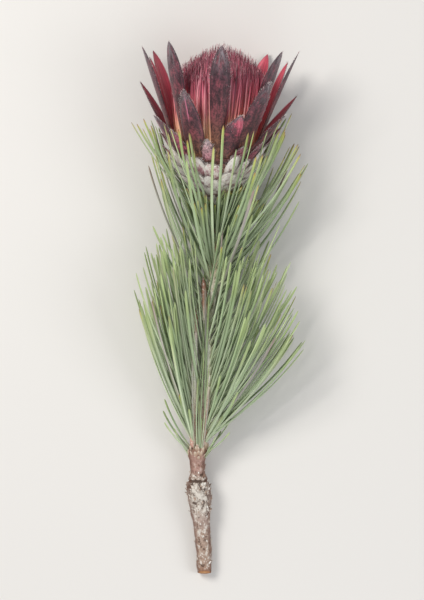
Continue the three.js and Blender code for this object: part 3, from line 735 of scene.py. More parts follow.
def flake_finish():
    """Papery flakes of bark, from tan to nearly white, dark where they leave the wood."""
    f = Finish("bark_flake", 0.85, 0.25)
    colour = f.ramp(f.read("drawn"), [(0, "8A6C5A"), (0.3, "B7A08E"), (0.6, "DAD0C4"), (1, "F0EBE2")])
    colour = f.tint(colour, f.band(f.read("along"), 0.35, 0.0), 0.6, "54402F")
    grain = f.on_blade(2.0, 2.0, 4.0, 0.7)
    return f.paint(f.shade(colour, grain, 0.6, 1.35), grain, 0.5, 0.3)


# Stems


def shoot_point(shoot, y):
    return np.array((through(shoot["x"], y), y, axis_height(y) + through(shoot["lift"], y)))


def shoot_direction(shoot, y):
    return unit(shoot_point(shoot, y + 1) - shoot_point(shoot, y - 1))


def turned(angle, values):
    """Angles in radians, brought to within half a turn of zero."""
    return np.arctan2(np.sin(angle - values), np.cos(angle - values))


def scar_height(y, angle):
    """Leaf scars stand up from the bark in a winding row."""
    height = 0
    first = round(y / SCAR_PITCH) - 2
    for i in range(first, first + 5):
        around = turned(angle, math.radians(i * GOLDEN_ANGLE)) * through(WOOD_RADIUS, y)
        up = y - i * SCAR_PITCH
        height = height + np.exp(-(around * around + 0.6 * up * up) / (SCAR_SIZE * SCAR_SIZE))
    return SCAR_HEIGHT * height


def rings_along(centres, directions, ups, radii):
    """Points of a round tube: radii is a grid of rings by sides."""
    sides = radii.shape[1]
    angles = 2 * np.pi * np.arange(sides) / sides
    n = unit(ups - directions * np.sum(ups * directions, axis=1, keepdims=True))
    b = np.cross(directions, n)
    wide = radii * np.cos(angles)
    deep = radii * np.sin(angles)
    return centres[:, None] + n[:, None] * wide[..., None] + b[:, None] * deep[..., None]


BARK_RINGS = 300
BARK_SIDES = 96
BARK_ROUGHNESS = 0.7  # height of the flakes and cracks of the bark
SLANTED_LENGTH = 9  # over this length the rings turn from the slant of the cut to the stem's own way
KNOB = (62, 14)  # y of its middle, and its reach along y
CREASE = (73.4, 0.8)  # the same for a crease round the wood above the knob
CREASE_DEPTH = 0.9
# The crease's height value is lowered by this much. This paints shade in the crease and deepens its relief a
# little more.
CREASE_DARKNESS = 0.7
COLLAR = (76.8, 2.2)  # and for a low collar above that
COLLAR_HEIGHT = 0.7


def ridge(y, middle, reach):
    """1 at the middle, and nearly 0 at twice the reach from it."""
    return math.exp(-(((y - middle) / reach) ** 2))


def bark_height(point, on_knob):
    """Flakes and cracks: most on the knob. 0.5 is the even surface."""
    coarse = noise.fractal(Vector((point[0], point[1] * 0.7, point[2])) * 0.32, 0.7, 2.3, 6)
    flake = noise.noise(Vector((point[0], point[1] * 0.9, point[2])) * 1.6)
    return 0.5 + (0.6 * coarse + 0.4 * flake) * (0.6 + 0.5 * on_knob)


def wood_piece(bark):
    """Makes the bare wood and gives back its rings of points."""
    ys = np.linspace(0, WOOD_TOP_Y, BARK_RINGS)
    angles = 2 * np.pi * np.arange(BARK_SIDES) / BARK_SIDES
    tilts = np.array([RISE - (RISE + CUT_SLANT) * max(0, 1 - y / SLANTED_LENGTH) for y in ys])
    along = unit(np.stack([0 * ys, 0 * ys + 1, tilts], axis=1))
    centres = np.array([(through(WOOD_X, y), y, axis_height(y)) for y in ys])
    radii, heights = np.zeros((2, BARK_RINGS, BARK_SIDES))
    for i, y in enumerate(ys):
        ends = min(1, y / 3, (WOOD_TOP_Y - y) / 2)
        base = through(WOOD_RADIUS, y)
        knob, crease = ridge(y, *KNOB), ridge(y, *CREASE)
        step = COLLAR_HEIGHT * ridge(y, *COLLAR) - CREASE_DEPTH * crease
        for k, angle in enumerate(angles):
            point = centres[i] + base * np.array((math.sin(angle), 0, math.cos(angle)))
            # Low height values are painted dark brown: painted shade in the cracks and the crease.
            heights[i, k] = bark_height(point, knob) - CREASE_DARKNESS * crease
            relief = scar_height(y, angle) + BARK_ROUGHNESS * (heights[i, k] - 0.5)
            radii[i, k] = base + ends * (relief + step)
    points = rings_along(centres, along, np.tile(UP, (BARK_RINGS, 1)), radii)
    points[..., 2] = np.maximum(points[..., 2], 0)
    shape = Shape()
    faces = tube_faces(BARK_RINGS, BARK_SIDES, open_start=True)[:-1]
    shares, across = np.repeat(ys / WOOD_TOP_Y, BARK_SIDES), np.tile(np.sin(angles), BARK_RINGS)
    shape.add(points, faces, shares, across, np.clip(heights, 0, 1).reshape(-1))
    shape.piece("bark", [bark], "bark", "woody_stem")
    return points


CUT_RINGS = 12
CUT_ROUGHNESS = 0.25


def end_face(name, edge, bulge, along, material, turned_round):
    """A rough face inside a ring of points, which bulges out along y by a little."""
    centre = edge.mean(axis=0)
    shares = np.linspace(1, 0, CUT_RINGS + 1)[:-1]
    rings = []
    for share in shares:
        ring = centre + (edge - centre) * share
        rough = np.array([noise.noise(Vector(point) * 0.8) for point in ring])
        ring[:, 1] += bulge * (1 - share * share) + CUT_ROUGHNESS * (1 - share) * rough
        rings.append(ring)
    faces = tube_faces(CUT_RINGS, len(edge), open_start=True)
    if turned_round:
        faces = [tuple(reversed(face)) for face in faces]
    shape = Shape()
    shape.add(np.array(rings), faces, along, np.repeat(shares, len(edge)), 0.5)
    shape.piece(name, [material], "bark", "woody_stem")


SHOOT_SIDES = 20
SHOOT_STEP = 1.0
SHOOT_START = 0.6  # shoots start this deep in the knuckle
BARK_INSET = 0.25  # their bark lies this far within their radius, where no root swells it
POINTED_LENGTH = 7  # a side shoot thins over this length at its end
END_SHARE = 0.25  # to this share of its radius
SHOOT_ROUGHNESS = 0.22
PULVINUS = 0.75  # a needle's root swells the shoot by this much
MOST_SWELL = 1.2  # and roots that crowd by this share of it
SWELL_REACH = (-6, 4)  # from this far below the root to this far above it
SWELL_CENTRE = -0.8
SWELL_BELOW = 5.0  # square of how far it fades out below its centre
SWELL_ABOVE = 1.6
SWELL_AROUND = 1.6


def shoot_stem(name, shoot, roots, finish):
    """A shoot's own bark, swollen where needles leave it."""
    start, end = WOOD_TOP_Y - SHOOT_START, shoot["end"]
    is_side = name != "flowering_shoot"
    ys = np.linspace(start, end, int((end - start) / SHOOT_STEP) + 1)
    centres = np.array([shoot_point(shoot, y) for y in ys])
    directions = np.array([shoot_direction(shoot, y) for y in ys])
    angles = 2 * np.pi * np.arange(SHOOT_SIDES) / SHOOT_SIDES
    radii = np.zeros((len(ys), SHOOT_SIDES))
    for i, y in enumerate(ys):
        base = through(shoot["radius"], y)
        if is_side:
            base *= min(1, END_SHARE + (end - y) / POINTED_LENGTH)
        swell = np.zeros(SHOOT_SIDES)
        for root_y, turn in roots:
            up = y - root_y
            if SWELL_REACH[0] < up < SWELL_REACH[1]:
                around = turned(angles, turn) * base
                length = SWELL_BELOW if up < SWELL_CENTRE else SWELL_ABOVE
                swell += np.exp(-(around**2) / SWELL_AROUND - (up - SWELL_CENTRE) ** 2 / length)
        rough = np.array([noise.noise(Vector((math.sin(a) * 2, y * 0.35, math.cos(a) * 2))) for a in angles])
        swell = PULVINUS * np.minimum(swell, MOST_SWELL)
        radii[i] = base - BARK_INSET + swell + SHOOT_ROUGHNESS * rough
    points = rings_along(centres, directions, np.tile(UP, (len(ys), 1)), radii)
    shape = Shape()
    shares = np.repeat((ys - start) / (end - start), SHOOT_SIDES)
    across = np.tile(np.cos(angles), len(ys))
    shape.add(points, tube_faces(len(ys), SHOOT_SIDES), shares, across, float(is_side))
    shape.piece(name + "_bark", [finish], "bark", name)


# Needle leaves


def in_head_frame(points):
    """Heights, radii and azimuths of points in the head's frame."""
    offset = points - HEAD_BASE
    height, across, up = offset @ HEAD_AXIS, offset @ HEAD_RIGHT, offset @ HEAD_UP
    return height, np.hypot(across, up), np.arctan2(across, up)


def head_room(height, azimuth):
    """The radius that needles leave free for the head."""
    return through(HEAD_ROOM, height) * (1 + SIDE_REACH * math.sin(azimuth) ** 2)


def clear_of_head(points):
    """Pushes points out of the head's room."""
    points = points.copy()
    for i, (height, radius, azimuth) in enumerate(zip(*in_head_frame(points))):
        if height >= HEAD_ROOM[0][0]:
            least = head_room(height, azimuth)
            if radius < least:
                points[i] = head_point(least, azimuth, height)
    return points


def parted(turn, parting, side):
    """A turn round the shoot, kept out of the parting along its upper side and away from other shoots."""
    from_up = math.atan2(math.sin(turn), math.cos(turn))
    if side * from_up < 0 and abs(from_up) < CROWDED:
        from_up = -from_up
    return math.copysign(parting, from_up) if abs(from_up) < parting else from_up


def needle_seed(shoot, index, attempt=0):
    return shoot["seed"] + index + TRY_SEEDS * attempt


def needle_root(shoot, index, attempt):
    """Where a needle leaves its shoot: share of the shoot's needles, y and turn round the shoot."""
    seed = needle_seed(shoot, index, attempt)
    share = (index + 0.5) / shoot["needles"]
    if "roots" in shoot:
        y, turn, _ = shoot["roots"][index]
        return share, y, turn + ROOT_STEP * attempt * spread(seed, 1)
    y = through(shoot["leafed"], share)
    if "turns" in shoot:
        turn = drawn_from(shoot["turns"], seed, 1)
        return share, y, -turn if index % 2 else turn
    start, step = TURN_SPREAD
    around = math.radians(index * GOLDEN_ANGLE + (start + step * attempt) * spread(seed, 1))
    around += FAN * math.sin(2 * around)
    return share, y, parted(around, shoot.get("parting", PARTING), shoot["side"])


def needle_line(shoot, index, attempt, stations):
    """The line of one needle at the given shares of its length, and the way it points out."""
    seed = needle_seed(shoot, index, attempt)
    share, y, turn = needle_root(shoot, index, attempt)
    length = drawn_from(NEEDLE_LENGTH, seed, 2) * through(shoot["young"], share)
    bias = 1 + through(RIGHT_BIAS, y) * math.sin(turn)
    start, step = LEAN_SPREAD
    lean = math.radians(through(NEEDLE_LEAN, y) * bias + (start + step * attempt) * spread(seed, 3))
    if "roots" in shoot:
        lean = math.radians(shoot["roots"][index][2])
    elif "leans" in shoot:
        lean = math.radians(drawn_from(shoot["leans"], seed, 3))
    direction = shoot_direction(shoot, y)
    root = shoot_point(shoot, y)
    right = unit(np.cross(direction, UP))
    up = np.cross(right, direction)
    outward = right * math.sin(turn) + up * FLATTEN * math.cos(turn)
    layer = NEEDLE_RADIUS + FLOOR_CLEAR + FLOOR_LAYER * math.floor(FLOOR_LAYERS * draw(seed, 4))
    t = np.asarray(stations, float)
    out = length * math.sin(lean) * (OUT_CURVE * t + (1 - OUT_CURVE) * t * t) + shoot.get("off", 0)
    along = length * math.cos(lean) * (ALONG_CURVE * t + (1 - ALONG_CURVE) * t * t)
    points = clear_of_head(root + direction * along[:, None] + outward * out[:, None])
    points[:, 2] = pressed(points[:, 2], min(layer, root[2] - 2 * NEEDLE_RADIUS))
    outward = unit(outward)
    points[0] = root + outward * (ROOT_DEPTH * through(shoot["radius"], y) + shoot.get("off", 0))
    return points, outward


def stretch_distances(p1, q1, p2, q2):
    """The least distance between each straight stretch of the first set and each of the second."""
    p1, q1, p2, q2 = p1[:, None], q1[:, None], p2[None], q2[None]
    d1, d2, r = q1 - p1, q2 - p2, p1 - p2

    def dot(u, v):
        return np.sum(u * v, axis=-1)

    a, e, f, c, b = dot(d1, d1), dot(d2, d2), dot(d2, r), dot(d1, r), dot(d1, d2)
    denominator = a * e - b * b
    apart = denominator > 1e-9
    s = np.where(apart, np.clip((b * f - c * e) / np.where(apart, denominator, 1), 0, 1), 0)
    t = (b * s + f) / e
    past = (t < 0) | (t > 1)
    t = np.clip(t, 0, 1)
    s = np.where(past, np.clip((b * t - c) / a, 0, 1), s)
    return np.linalg.norm(p1 + d1 * s[..., None] - p2 - d2 * t[..., None], axis=-1)


def samples(line):
    """Points along each straight stretch of a line."""
    shares = np.array((0.25, 0.5, 0.75, 1))[None, :, None]
    return (line[:-1, None] + (line[1:] - line[:-1])[:, None] * shares).reshape(-1, 3)


def off_stem(line):
    """A needle's line without the part next to its own stem, where its neighbours' roots are."""
    return np.concatenate([[line[0] + (line[1] - line[0]) * OFF_STEM], line[1:]])


def enters_head(points):
    """True where one of the points is in the head's room."""
    for height, radius, azimuth in zip(*in_head_frame(points)):
        if height > HEAD_ROOM[0][0] and radius < head_room(height, azimuth) - CHORD_SLACK:
            return True
    return False


def enters_shoot(points, shoot):
    """True where one of the points is in this shoot, or nearly."""
    for point in points:
        y = min(max(point[1], WOOD_TOP_Y), shoot["end"])
        room = through(shoot["radius"], y) + NEEDLE_RADIUS + STEM_CLEAR
        if np.linalg.norm(shoot_point(shoot, y) - point) < room:
            return True
    return False


BESIDE = 1.5  # more needles may stand out this far past their shoot's solid
SOLID_BOXES = {name: [np.array(corner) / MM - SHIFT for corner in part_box(name)] for name in SHOOTS}


def beside_solid(line, name):
    """True where a needle stays within its shoot's place in the solid model, seen from above."""
    low, high = SOLID_BOXES[name]
    return bool(np.all(line[:, :2] > low[:2] - BESIDE) and np.all(line[:, :2] < high[:2] + BESIDE))


class Placed:
    """The needles placed so far, as straight stretches."""

    def __init__(self):
        self.whole, self.outer, self.owner = [], [], []

    def clear(self, line, name, closer):
        """True where a needle, apart from its root, keeps clear of the others, other stems and the head."""
        if enters_head(samples(off_stem(line))):
            return False
        for other, shoot in SHOOTS.items():
            if other != name and enters_shoot(samples(line), shoot):
                return False
        if not self.owner:
            return True
        own = np.array([owner == name for owner in self.owner])
        for lines, mine, ours, spacing in (
            (self.whole, ~own, line, NEEDLE_SPACING),
            (self.outer, own, off_stem(line), SAME_SHOOT_SPACING),
        ):
            if mine.any():
                others = np.array(lines)[mine]
                starts, ends = others[:, :-1].reshape(-1, 3), others[:, 1:].reshape(-1, 3)
                if stretch_distances(ours[:-1], ours[1:], starts, ends).min() < spacing * closer:
                    return False
        return True

    def add(self, line, name):
        self.whole.append(line)
        self.outer.append(off_stem(line))
        self.owner.append(name)


# More needles than the solid model holds. They may lie at this share of the usual distances.
EXTRA_CLOSER = 0.62
SHORT_CLOSER = 0.45
EXTRA_TRIES = 14
EXTRA_SHARE = 0.32  # this share more all over a shoot
EXTRA_SEED = 40000
EXTRA_LEANS = (14, 31)
FRONT_CLEAR = 0.75  # radians each side of straight up where those don't hide the shoots

# Other groups of them take what isn't given here from their shoot. turns are radians from straight up
# and leans are degrees, both as (least, most), and off is the distance of the roots from the shoot's axis.
# Short young needles right under the head
CROWN = {
    "seed": 70000, "needles": 170, "leafed": [(0, 236), (0.4, 268), (1, 294)],
    "young": [(0, 0.6), (0.6, 0.3), (1, 0.14)], "parting": 0.4,
}
CROWN_TOP = {
    **CROWN, "seed": 75000, "needles": 70, "leafed": [(0, 258), (1, 292)],
    "young": [(0, 0.32), (1, 0.11)], "parting": 0,
}
# Long ones over the base of the head: (y, turn, degrees of lean) of each. A further try turns its root.
ROOT_STEP = 0.05
FRONT = {
    "seed": 130000, "needles": 7,
    "roots": [(257, -0.52, 30), (245, -0.2, 29), (259, 0.03, 30), (247, 0.14, 29), (248, 0.46, 31),
              (252, -0.86, 31), (254, 0.8, 30)],
}
# Needles on the knuckle itself: thin ones along the stems, and short ones out to its sides
KNUCKLE_TOP = {
    "seed": 140000, "needles": 8, "leafed": [(0, 90), (1, 99)], "young": [(0, 0.3), (1, 0.9)],
    "turns": (0, 1), "leans": (3, 9), "width": 0.45, "off": 6.4,
    "x": [(90, -6), (100, -5.6)], "lift": [(90, 0), (100, 0)], "radius": [(90, 0.5), (100, 0.5)],
}
KNUCKLE_SIDES = {
    **KNUCKLE_TOP, "seed": 150000, "needles": 12, "young": [(0, 0.12), (1, 0.4)],
    "turns": (0.9, 1.7), "leans": (26, 52), "width": 0.8, "off": 5,
}
# On the side shoots: short old ones at the knuckle, and long ones that run up over the stems
STUBS = {
    "seed": 90000, "needles": 9, "leafed": [(0, 101), (1, 112)], "young": [(0, 0.3), (1, 0.55)],
    "parting": 0.2,
}
MIDDLE = {
    "seed": 110000, "needles": 6, "leafed": [(0, 140), (1, 196)], "young": [(0, 1), (1, 0.85)],
    "turns": (0.8, 1.5), "leans": (6, 14), "width": 0.8,
}
MIDDLE_LOW = {
    **MIDDLE, "seed": 220000, "needles": 7, "leafed": [(0, 107), (1, 138)], "turns": (0.45, 1.1),
    "leans": (6, 11), "width": 0.7,
}


def needle_groups():
    """(shoot name, values, tries, share of the usual distances, whether they keep off the front) of each
    group of needles, in the order in which they find their places."""
    groups = [(name, shoot, NEEDLE_TRIES, 1, False) for name, shoot in SHOOTS.items()]
    for name, shoot in SHOOTS.items():
        needles = round(shoot["needles"] * EXTRA_SHARE)
        more = {**shoot, "seed": shoot["seed"] + EXTRA_SEED, "needles": needles, "leans": EXTRA_LEANS}
        groups.append((name, more, EXTRA_TRIES, EXTRA_CLOSER, True))
    for more in (FRONT, KNUCKLE_TOP, KNUCKLE_SIDES, CROWN, CROWN_TOP):
        name = "flowering_shoot"
        groups.append((name, {**SHOOTS[name], **more}, EXTRA_TRIES, SHORT_CLOSER, False))
    for name in ("left_side_shoot", "right_side_shoot"):
        for more in (STUBS, MIDDLE, MIDDLE_LOW):
            seed = SHOOTS[name]["seed"] + more["seed"]
            groups.append((name, {**SHOOTS[name], **more, "seed": seed}, EXTRA_TRIES, SHORT_CLOSER, False))
    return groups


def place_needles():
    """(shoot name, index, attempt, group values) for each needle that finds room."""
    placed, found = Placed(), []
    for name, group, tries, closer, off_front in needle_groups():
        for index in range(group["needles"]):
            for attempt in range(tries):
                line, _ = needle_line(group, index, attempt, NEEDLE_STATIONS)
                turn = needle_root(group, index, attempt)[2]
                if off_front and (abs(turned(turn, 0)) < FRONT_CLEAR or not beside_solid(line, name)):
                    continue
                if placed.clear(line, name, closer):
                    placed.add(line, name)
                    found.append((name, index, attempt, group))
                    break
    return found


NEEDLE_SIDES = 8
NEEDLE_RINGS = 15
NEEDLE_HALF_WIDTH = 1.1
WIDTH_SHARES = (0.88, 1.08)  # each needle has a share of it between these
NEEDLE_HALF_DEPTH = 0.5
LEAST_DEPTH = 0.2  # share of it at the point
# Share of its full width against the share of its length
NEEDLE_OUTLINE = [(0, 0.75), (0.06, 0.8), (0.2, 1), (0.9, 1), (0.96, 0.9), (0.988, 0.62), (1, 0.12)]
NEEDLE_SWAY = 1.4  # each needle wanders sideways by up to this much
MOST_TWIST = 52  # degrees that its flat side turns from facing outward
YELLOW_TIPS = [(185, 0), (232, 1)]  # share of yellow in a needle's tip against the y of its root


def needles_piece(name, found, finish):
    """All the needles of a shoot."""
    shape = Shape()
    t = np.sin(np.pi / 2 * np.linspace(0, 1, NEEDLE_RINGS))
    widths = np.array([through(NEEDLE_OUTLINE, share) for share in t])
    depths = NEEDLE_HALF_DEPTH * np.maximum(widths, LEAST_DEPTH)
    for _, index, attempt, shoot in found:
        seed = needle_seed(shoot, index)
        line, outward = needle_line(shoot, index, attempt, t)
        sway = NEEDLE_SWAY * spread(seed, 11) * np.sin(np.pi * t) * t
        side, _ = ribbon_frame(line, outward)
        line[:, :2] += (side * sway[:, None])[:, :2]
        twist = math.radians(MOST_TWIST * spread(seed, 12))
        facing = outward * math.cos(twist) + side[len(t) // 2] * math.sin(twist)
        width = NEEDLE_HALF_WIDTH * drawn_from(WIDTH_SHARES, seed, 13) * shoot.get("width", 1)
        yellow = through(YELLOW_TIPS, needle_root(shoot, index, attempt)[1])
        strand(shape, line, facing, width * widths, depths, NEEDLE_SIDES, draw(seed, 14), t, yellow)
    shape.piece(name + "_needles", [finish], "needle_leaf", name)


# Bracts and scales


def outline(v, widest, blunt):
    """The share of the full width at each share of the length. A scale has a blunter tip."""
    base = 0.9 - 0.65 * widest
    low = base + (1 - base) * np.sin(np.pi / 2 * np.minimum(v / widest, 1)) ** (1 if blunt else 2.1)
    upper = np.clip((v - widest) / (1 - widest), 0, 1)
    high = np.maximum(0.05, (1 - upper**2.1) ** (0.5 if blunt else 0.78))
    return np.where(v < widest, low, high)


def blade_seed(k):
    """Whole numbers of k are on the main spiral. Halves are the small bracts between them."""
    return k + 20 if k == int(k) else int(2 * k) + 300


def bract_facts(k):
    """Azimuth, root radius, root height, reach, tip height and half width of a bract."""
    seed = blade_seed(k)
    off_spiral = TURNED_BRACTS.get(k, 0) + AZIMUTH_SPREAD * spread(seed, 1)
    azimuth = math.radians(BRACT_ZERO - k * GOLDEN_ANGLE + off_spiral)
    root = through(BRACT_ROOT, k)
    root_radius = through(RECEPTACLE, root) - ROOT_INSET
    behind = 0 if k > LAST_BRACT else SHORT_BEHIND * (1 - math.cos(azimuth)) / 2
    tip = through(BRACT_TIP, k) * (1 + TIP_SPREAD * spread(seed, 2) - behind)
    sideways = 1 + SIDE_REACH * math.sin(azimuth) ** 2
    reach = through(BRACT_REACH, k) * sideways * (1 + REACH_SPREAD * spread(seed, 3))
    if k != int(k):
        reach -= BETWEEN_INSET
        tip -= BETWEEN_INSET
    return azimuth, root_radius, root, reach, tip, through(BRACT_HALF_WIDTH, k)


CURL = 0.012  # a blade's tip bends out or in by up to this share of its length
SIDE_BEND = 0.02  # and sideways
EDGE_WAVE = 0.03  # share of its half width
GROOVE_DEPTH = 0.35  # of the groove along the middle of its outside
GROOVE_WIDTH = 0.16  # share of its half width


def blade_rows(rows):
    """Shares of the length, closer together towards the tip, where the outline turns."""
    return 1 - (1 - np.linspace(0, 1, rows)) ** 1.45


def bract_grid(k, rows, columns, thickness):
    """The middle surface of a bract or scale, with its own waves and curl."""
    azimuth, root_radius, root, reach, tip, half_width = bract_facts(k)
    is_scale = k > LAST_BRACT
    bend = SCALE_BEND if is_scale else BRACT_BEND
    bend_radius = root_radius + bend[0] * (reach - root_radius)
    bend_height = root + bend[1] * (tip - root)
    v = blade_rows(rows)[:, None]
    u = np.linspace(-1, 1, columns)[None]
    radius = (1 - v) ** 2 * root_radius + 2 * v * (1 - v) * bend_radius + v * v * reach
    height = (1 - v) ** 2 * root + 2 * v * (1 - v) * bend_height + v * v * tip
    half = half_width * outline(v, through(BRACT_WIDEST, k), is_scale)
    seed = blade_seed(k)
    length = tip - root
    curl = CURL * length * spread(seed, 6) * v**4
    edge_wave = EDGE_WAVE * half_width * np.sin(7 * v + 6 * spread(seed, 7)) * np.abs(u) * v
    groove = GROOVE_DEPTH * np.exp(-((u / GROOVE_WIDTH) ** 2)) * (1 - v)
    sideways = SIDE_BEND * length * spread(seed, 8) * v**3
    cup = SCALE_CUP if is_scale else BRACT_CUP
    point_radius = radius - cup * half * u * u + curl + edge_wave - groove
    points = head_point(point_radius, azimuth + (u * half + sideways) / radius, height + 0 * u)
    points[..., 2] = pressed(points[..., 2], thickness / 2 - FLOOR_DIP)
    return points


# The drawn value of a bract against its number: 1 is palest
BRACT_TONE = [(-7, 0.2), (8, 0.1), (12, 0.3), (14, 0.42), (16, 0.68), (20, 0.72), (21, 0.96)]
TONE_SPREAD = 0.12
BRACT_GRID = (34, 15)  # rows along it and columns across it
BRACT_THICKNESS = 0.9
BRACT_SEAT = (19, 34)  # the heights of the receptacle between which bracts stand on it
SCALE_GRID = (18, 11)
SCALE_THICKNESS = 1.1
SCALE_SEAT = (0, 20)
OFF_MIDDLE = 0.7  # the across value of plain surfaces, away from the middle line of a blade


def revolved(shape, profile, heights, steps, sides, drawn, along=0.3, across=0):
    """Adds a surface of revolution about the head's axis, between two heights. It looks like a blade up to
    this share along it, and its across value grows by across from side to side."""
    heights = np.linspace(*heights, steps)
    radii = np.array([through(profile, h) for h in heights])
    azimuths = 2 * np.pi * np.arange(sides) / sides
    points = head_point(radii[:, None], azimuths[None], np.broadcast_to(heights[:, None], (steps, sides)))
    points[..., 2] = np.maximum(points[..., 2], 0.2)
    shares = np.repeat(np.linspace(0, along, steps), sides)
    across = OFF_MIDDLE + across * np.tile(np.arange(sides), steps)
    shape.add(points, tube_faces(steps, sides), shares, across, drawn)


HAIR_SHARES = (0.6, 1.3)  # of the length given, for each hair
HAIR_TAPER = np.array((1, 0.8, 0.2))


def hairs_on(shape, grid, spots, length, half_width, seed):
    """Adds fine hairs on a blade's outer side at (v, u) spots, lying towards its tip."""
    rows, columns = grid.shape[:2]
    normal = unit(np.cross(np.gradient(grid, axis=1), np.gradient(grid, axis=0)))
    upward = unit(np.gradient(grid, axis=0))
    sideways = unit(np.gradient(grid, axis=1))
    for n, (v, u) in enumerate(spots):
        i = min(int(v * (rows - 1)), rows - 1)
        j = min(int((u + 1) / 2 * (columns - 1) + 0.5), columns - 1)
        number = seed * 1000 + n
        way = unit(upward[i, j] + sideways[i, j] * (0.9 * u + 0.5 * spread(number, 21)) * v
                   + normal[i, j] * (0.1 + 0.3 * draw(number, 22)))
        start = grid[i, j] + sideways[i, j] * 0.4 * spread(number, 23)
        reach = length * drawn_from(HAIR_SHARES, number, 24)
        t = np.array((0, 0.5, 1))[:, None]
        line = start + way * reach * t + normal[i, j] * 0.12 * reach * t * t
        line[:, 2] = np.maximum(line[:, 2], 0.1)
        widths = half_width * HAIR_TAPER
        strand(shape, line, normal[i, j], widths, 0.8 * widths, 3, draw(number, 25))


def edge_spots(seed, count, first):
    """Places along both edges and the tip of a blade, from the first share of its length on."""
    spots = []
    for n in range(count):
        number = seed * 500 + n
        v = first + (1 - first) * math.sqrt(draw(number, 31))
        side = 1 if draw(number, 32) > 0.5 else -1
        spots.append((v, side * (1 if draw(number, 33) > 0.25 else draw(number, 34))))
    return spots


def face_spots(seed, count):
    """Places all over a blade."""
    return [(math.sqrt(draw(seed * 700 + n, 35)), 0.9 * spread(seed * 700 + n, 36)) for n in range(count)]


# Narrow scales below the cup
LOW_SCALES = 36
# Root height, length, half width and how much further out its tip is, of the first and of the last one
LOW_FIRST = np.array((3, 13, 2.3, 9.5))
LOW_LAST = np.array((-14, 9, 1.3, 4.5))
LOW_LONGER = 4  # some are up to this much longer
LOW_ROOT_RADIUS = 3.4
LOW_WIDEST = 0.4
LOW_CURL = 1.5
LOW_CUP = 0.25
LOW_GRID = (9, 5)
LOW_THICKNESS = 0.7
LOW_TONES = 5


def low_scales(shape):
    """Narrow scales on the top of the stem, between the highest needles."""
    v, u = blade_shares(*LOW_GRID)
    for n in range(LOW_SCALES):
        number = 3000 + n
        share = (n + 0.5) / LOW_SCALES
        height, length, half_width, flare = LOW_FIRST + (LOW_LAST - LOW_FIRST) * share
        length += LOW_LONGER * draw(number, 71)
        half = half_width * outline(v, LOW_WIDEST, False)
        curl = LOW_CURL * spread(number, 72) * v * v
        radius = LOW_ROOT_RADIUS + flare * v + curl - LOW_CUP * half * u * u
        azimuth = math.radians(n * GOLDEN_ANGLE)
        points = head_point(radius, azimuth + u * half / radius, height + length * v + 0 * u)
        tone = (n % LOW_TONES + 0.9) / (LOW_TONES + 0.1)
        slab(shape, points, blade_thickness(*LOW_GRID, LOW_THICKNESS), tone, (0, 0, 0))


# Both marks are painted highlights in pink.
MARKED_BRACTS = {8: 1, 13: 2, 11: 1}  # 1: a pink stripe, 2: a bright pink patch
BRACT_HAIRS = 110
BRACT_HAIRS_FROM = 0.4  # they grow on its edges from this share of its length on
BRACT_HAIR = (2.0, 0.07)  # length and half width
SCALE_HAIRS = (150, 90)  # on its edges and on its face
SCALE_HAIRS_FROM = 0.3
SCALE_HAIR = (2.4, 0.075)
LAST_HAIRY_SCALE = 39  # those below have fewer hairs, because the needles hide them
FEWER_HAIRS = 0.4


def involucre_pieces(finishes):
    """The bracts, the scales below them, and the hairs on both."""
    outside, inside, down, silver = finishes
    bracts, scales, bract_hairs, scale_hairs = Shape(), Shape(), Shape(), Shape()
    for k in [*range(FIRST_BRACT, LAST_BRACT + 1), *BRACTS_BETWEEN]:
        if k in MISSING_BRACTS:
            continue
        seed = blade_seed(k)
        grid = bract_grid(k, *BRACT_GRID, BRACT_THICKNESS)
        tone = min(1, through(BRACT_TONE, k) + TONE_SPREAD * draw(seed, 9))
        thickness = blade_thickness(*BRACT_GRID, BRACT_THICKNESS)
        slab(bracts, grid, thickness, tone, marked=MARKED_BRACTS.get(k, 0))
        spots = edge_spots(seed, BRACT_HAIRS, BRACT_HAIRS_FROM)
        hairs_on(bract_hairs, grid, spots, *BRACT_HAIR, seed)
    # The receptacle between the bract bases takes the dark wine of the bracts' outside: painted shade
    # between them.
    revolved(bracts, RECEPTACLE, BRACT_SEAT, steps=8, sides=48, drawn=0.3)
    for k in [*range(LAST_BRACT + 1, LAST_SCALE + 1), *SCALES_BETWEEN]:
        seed = blade_seed(k)
        grid = bract_grid(k, *SCALE_GRID, SCALE_THICKNESS)
        thickness = blade_thickness(*SCALE_GRID, SCALE_THICKNESS)
        slab(scales, grid, thickness, draw(seed, 9), (0, 0, 0))
        share = 1 if k < LAST_HAIRY_SCALE + 1 else FEWER_HAIRS
        on_edge, on_face = (round(count * share) for count in SCALE_HAIRS)
        spots = edge_spots(seed, on_edge, SCALE_HAIRS_FROM) + face_spots(seed, on_face)
        hairs_on(scale_hairs, grid, spots, *SCALE_HAIR, seed)
    low_scales(scales)
    revolved(scales, RECEPTACLE, SCALE_SEAT, steps=10, sides=48, drawn=0.5, along=0.9)
    bracts.piece("bracts", [outside, inside], "bract", "red_bracts")
    scales.piece("scales", [down], "scale_down", "basal_scales")
    bract_hairs.piece("bract_hairs", [silver], "bract")
    scale_hairs.piece("scale_hairs", [silver], "scale_down")


# Florets

FLORETS = 1100
FLORET_FIELD = 28.3  # radius of the disc that bears them
FLORET_ROOT = 33  # height of that disc
FLORET_FLARE = 1.29  # tips stand this many times further out than roots
# Height of the tips against their distance from the axis
FLORET_DOME = [(0, 121), (5, 120.5), (13, 117), (22, 112.5), (30, 107), (37, 100)]
LEFT_DROP = 5  # the florets on the left end this much lower
LEFT_REACH = 26  # in full from this far to the left
FLORET_BELLY = (1.5, 2.6)  # how far any floret bellies out, and how much more in mid-field
FLORET_TURN = 5  # degrees round the axis
FLORET_SPREAD = 1.2  # a tip stands off its place by up to this much
FLORET_TIP_SPREAD = 0.03  # and this share of its height
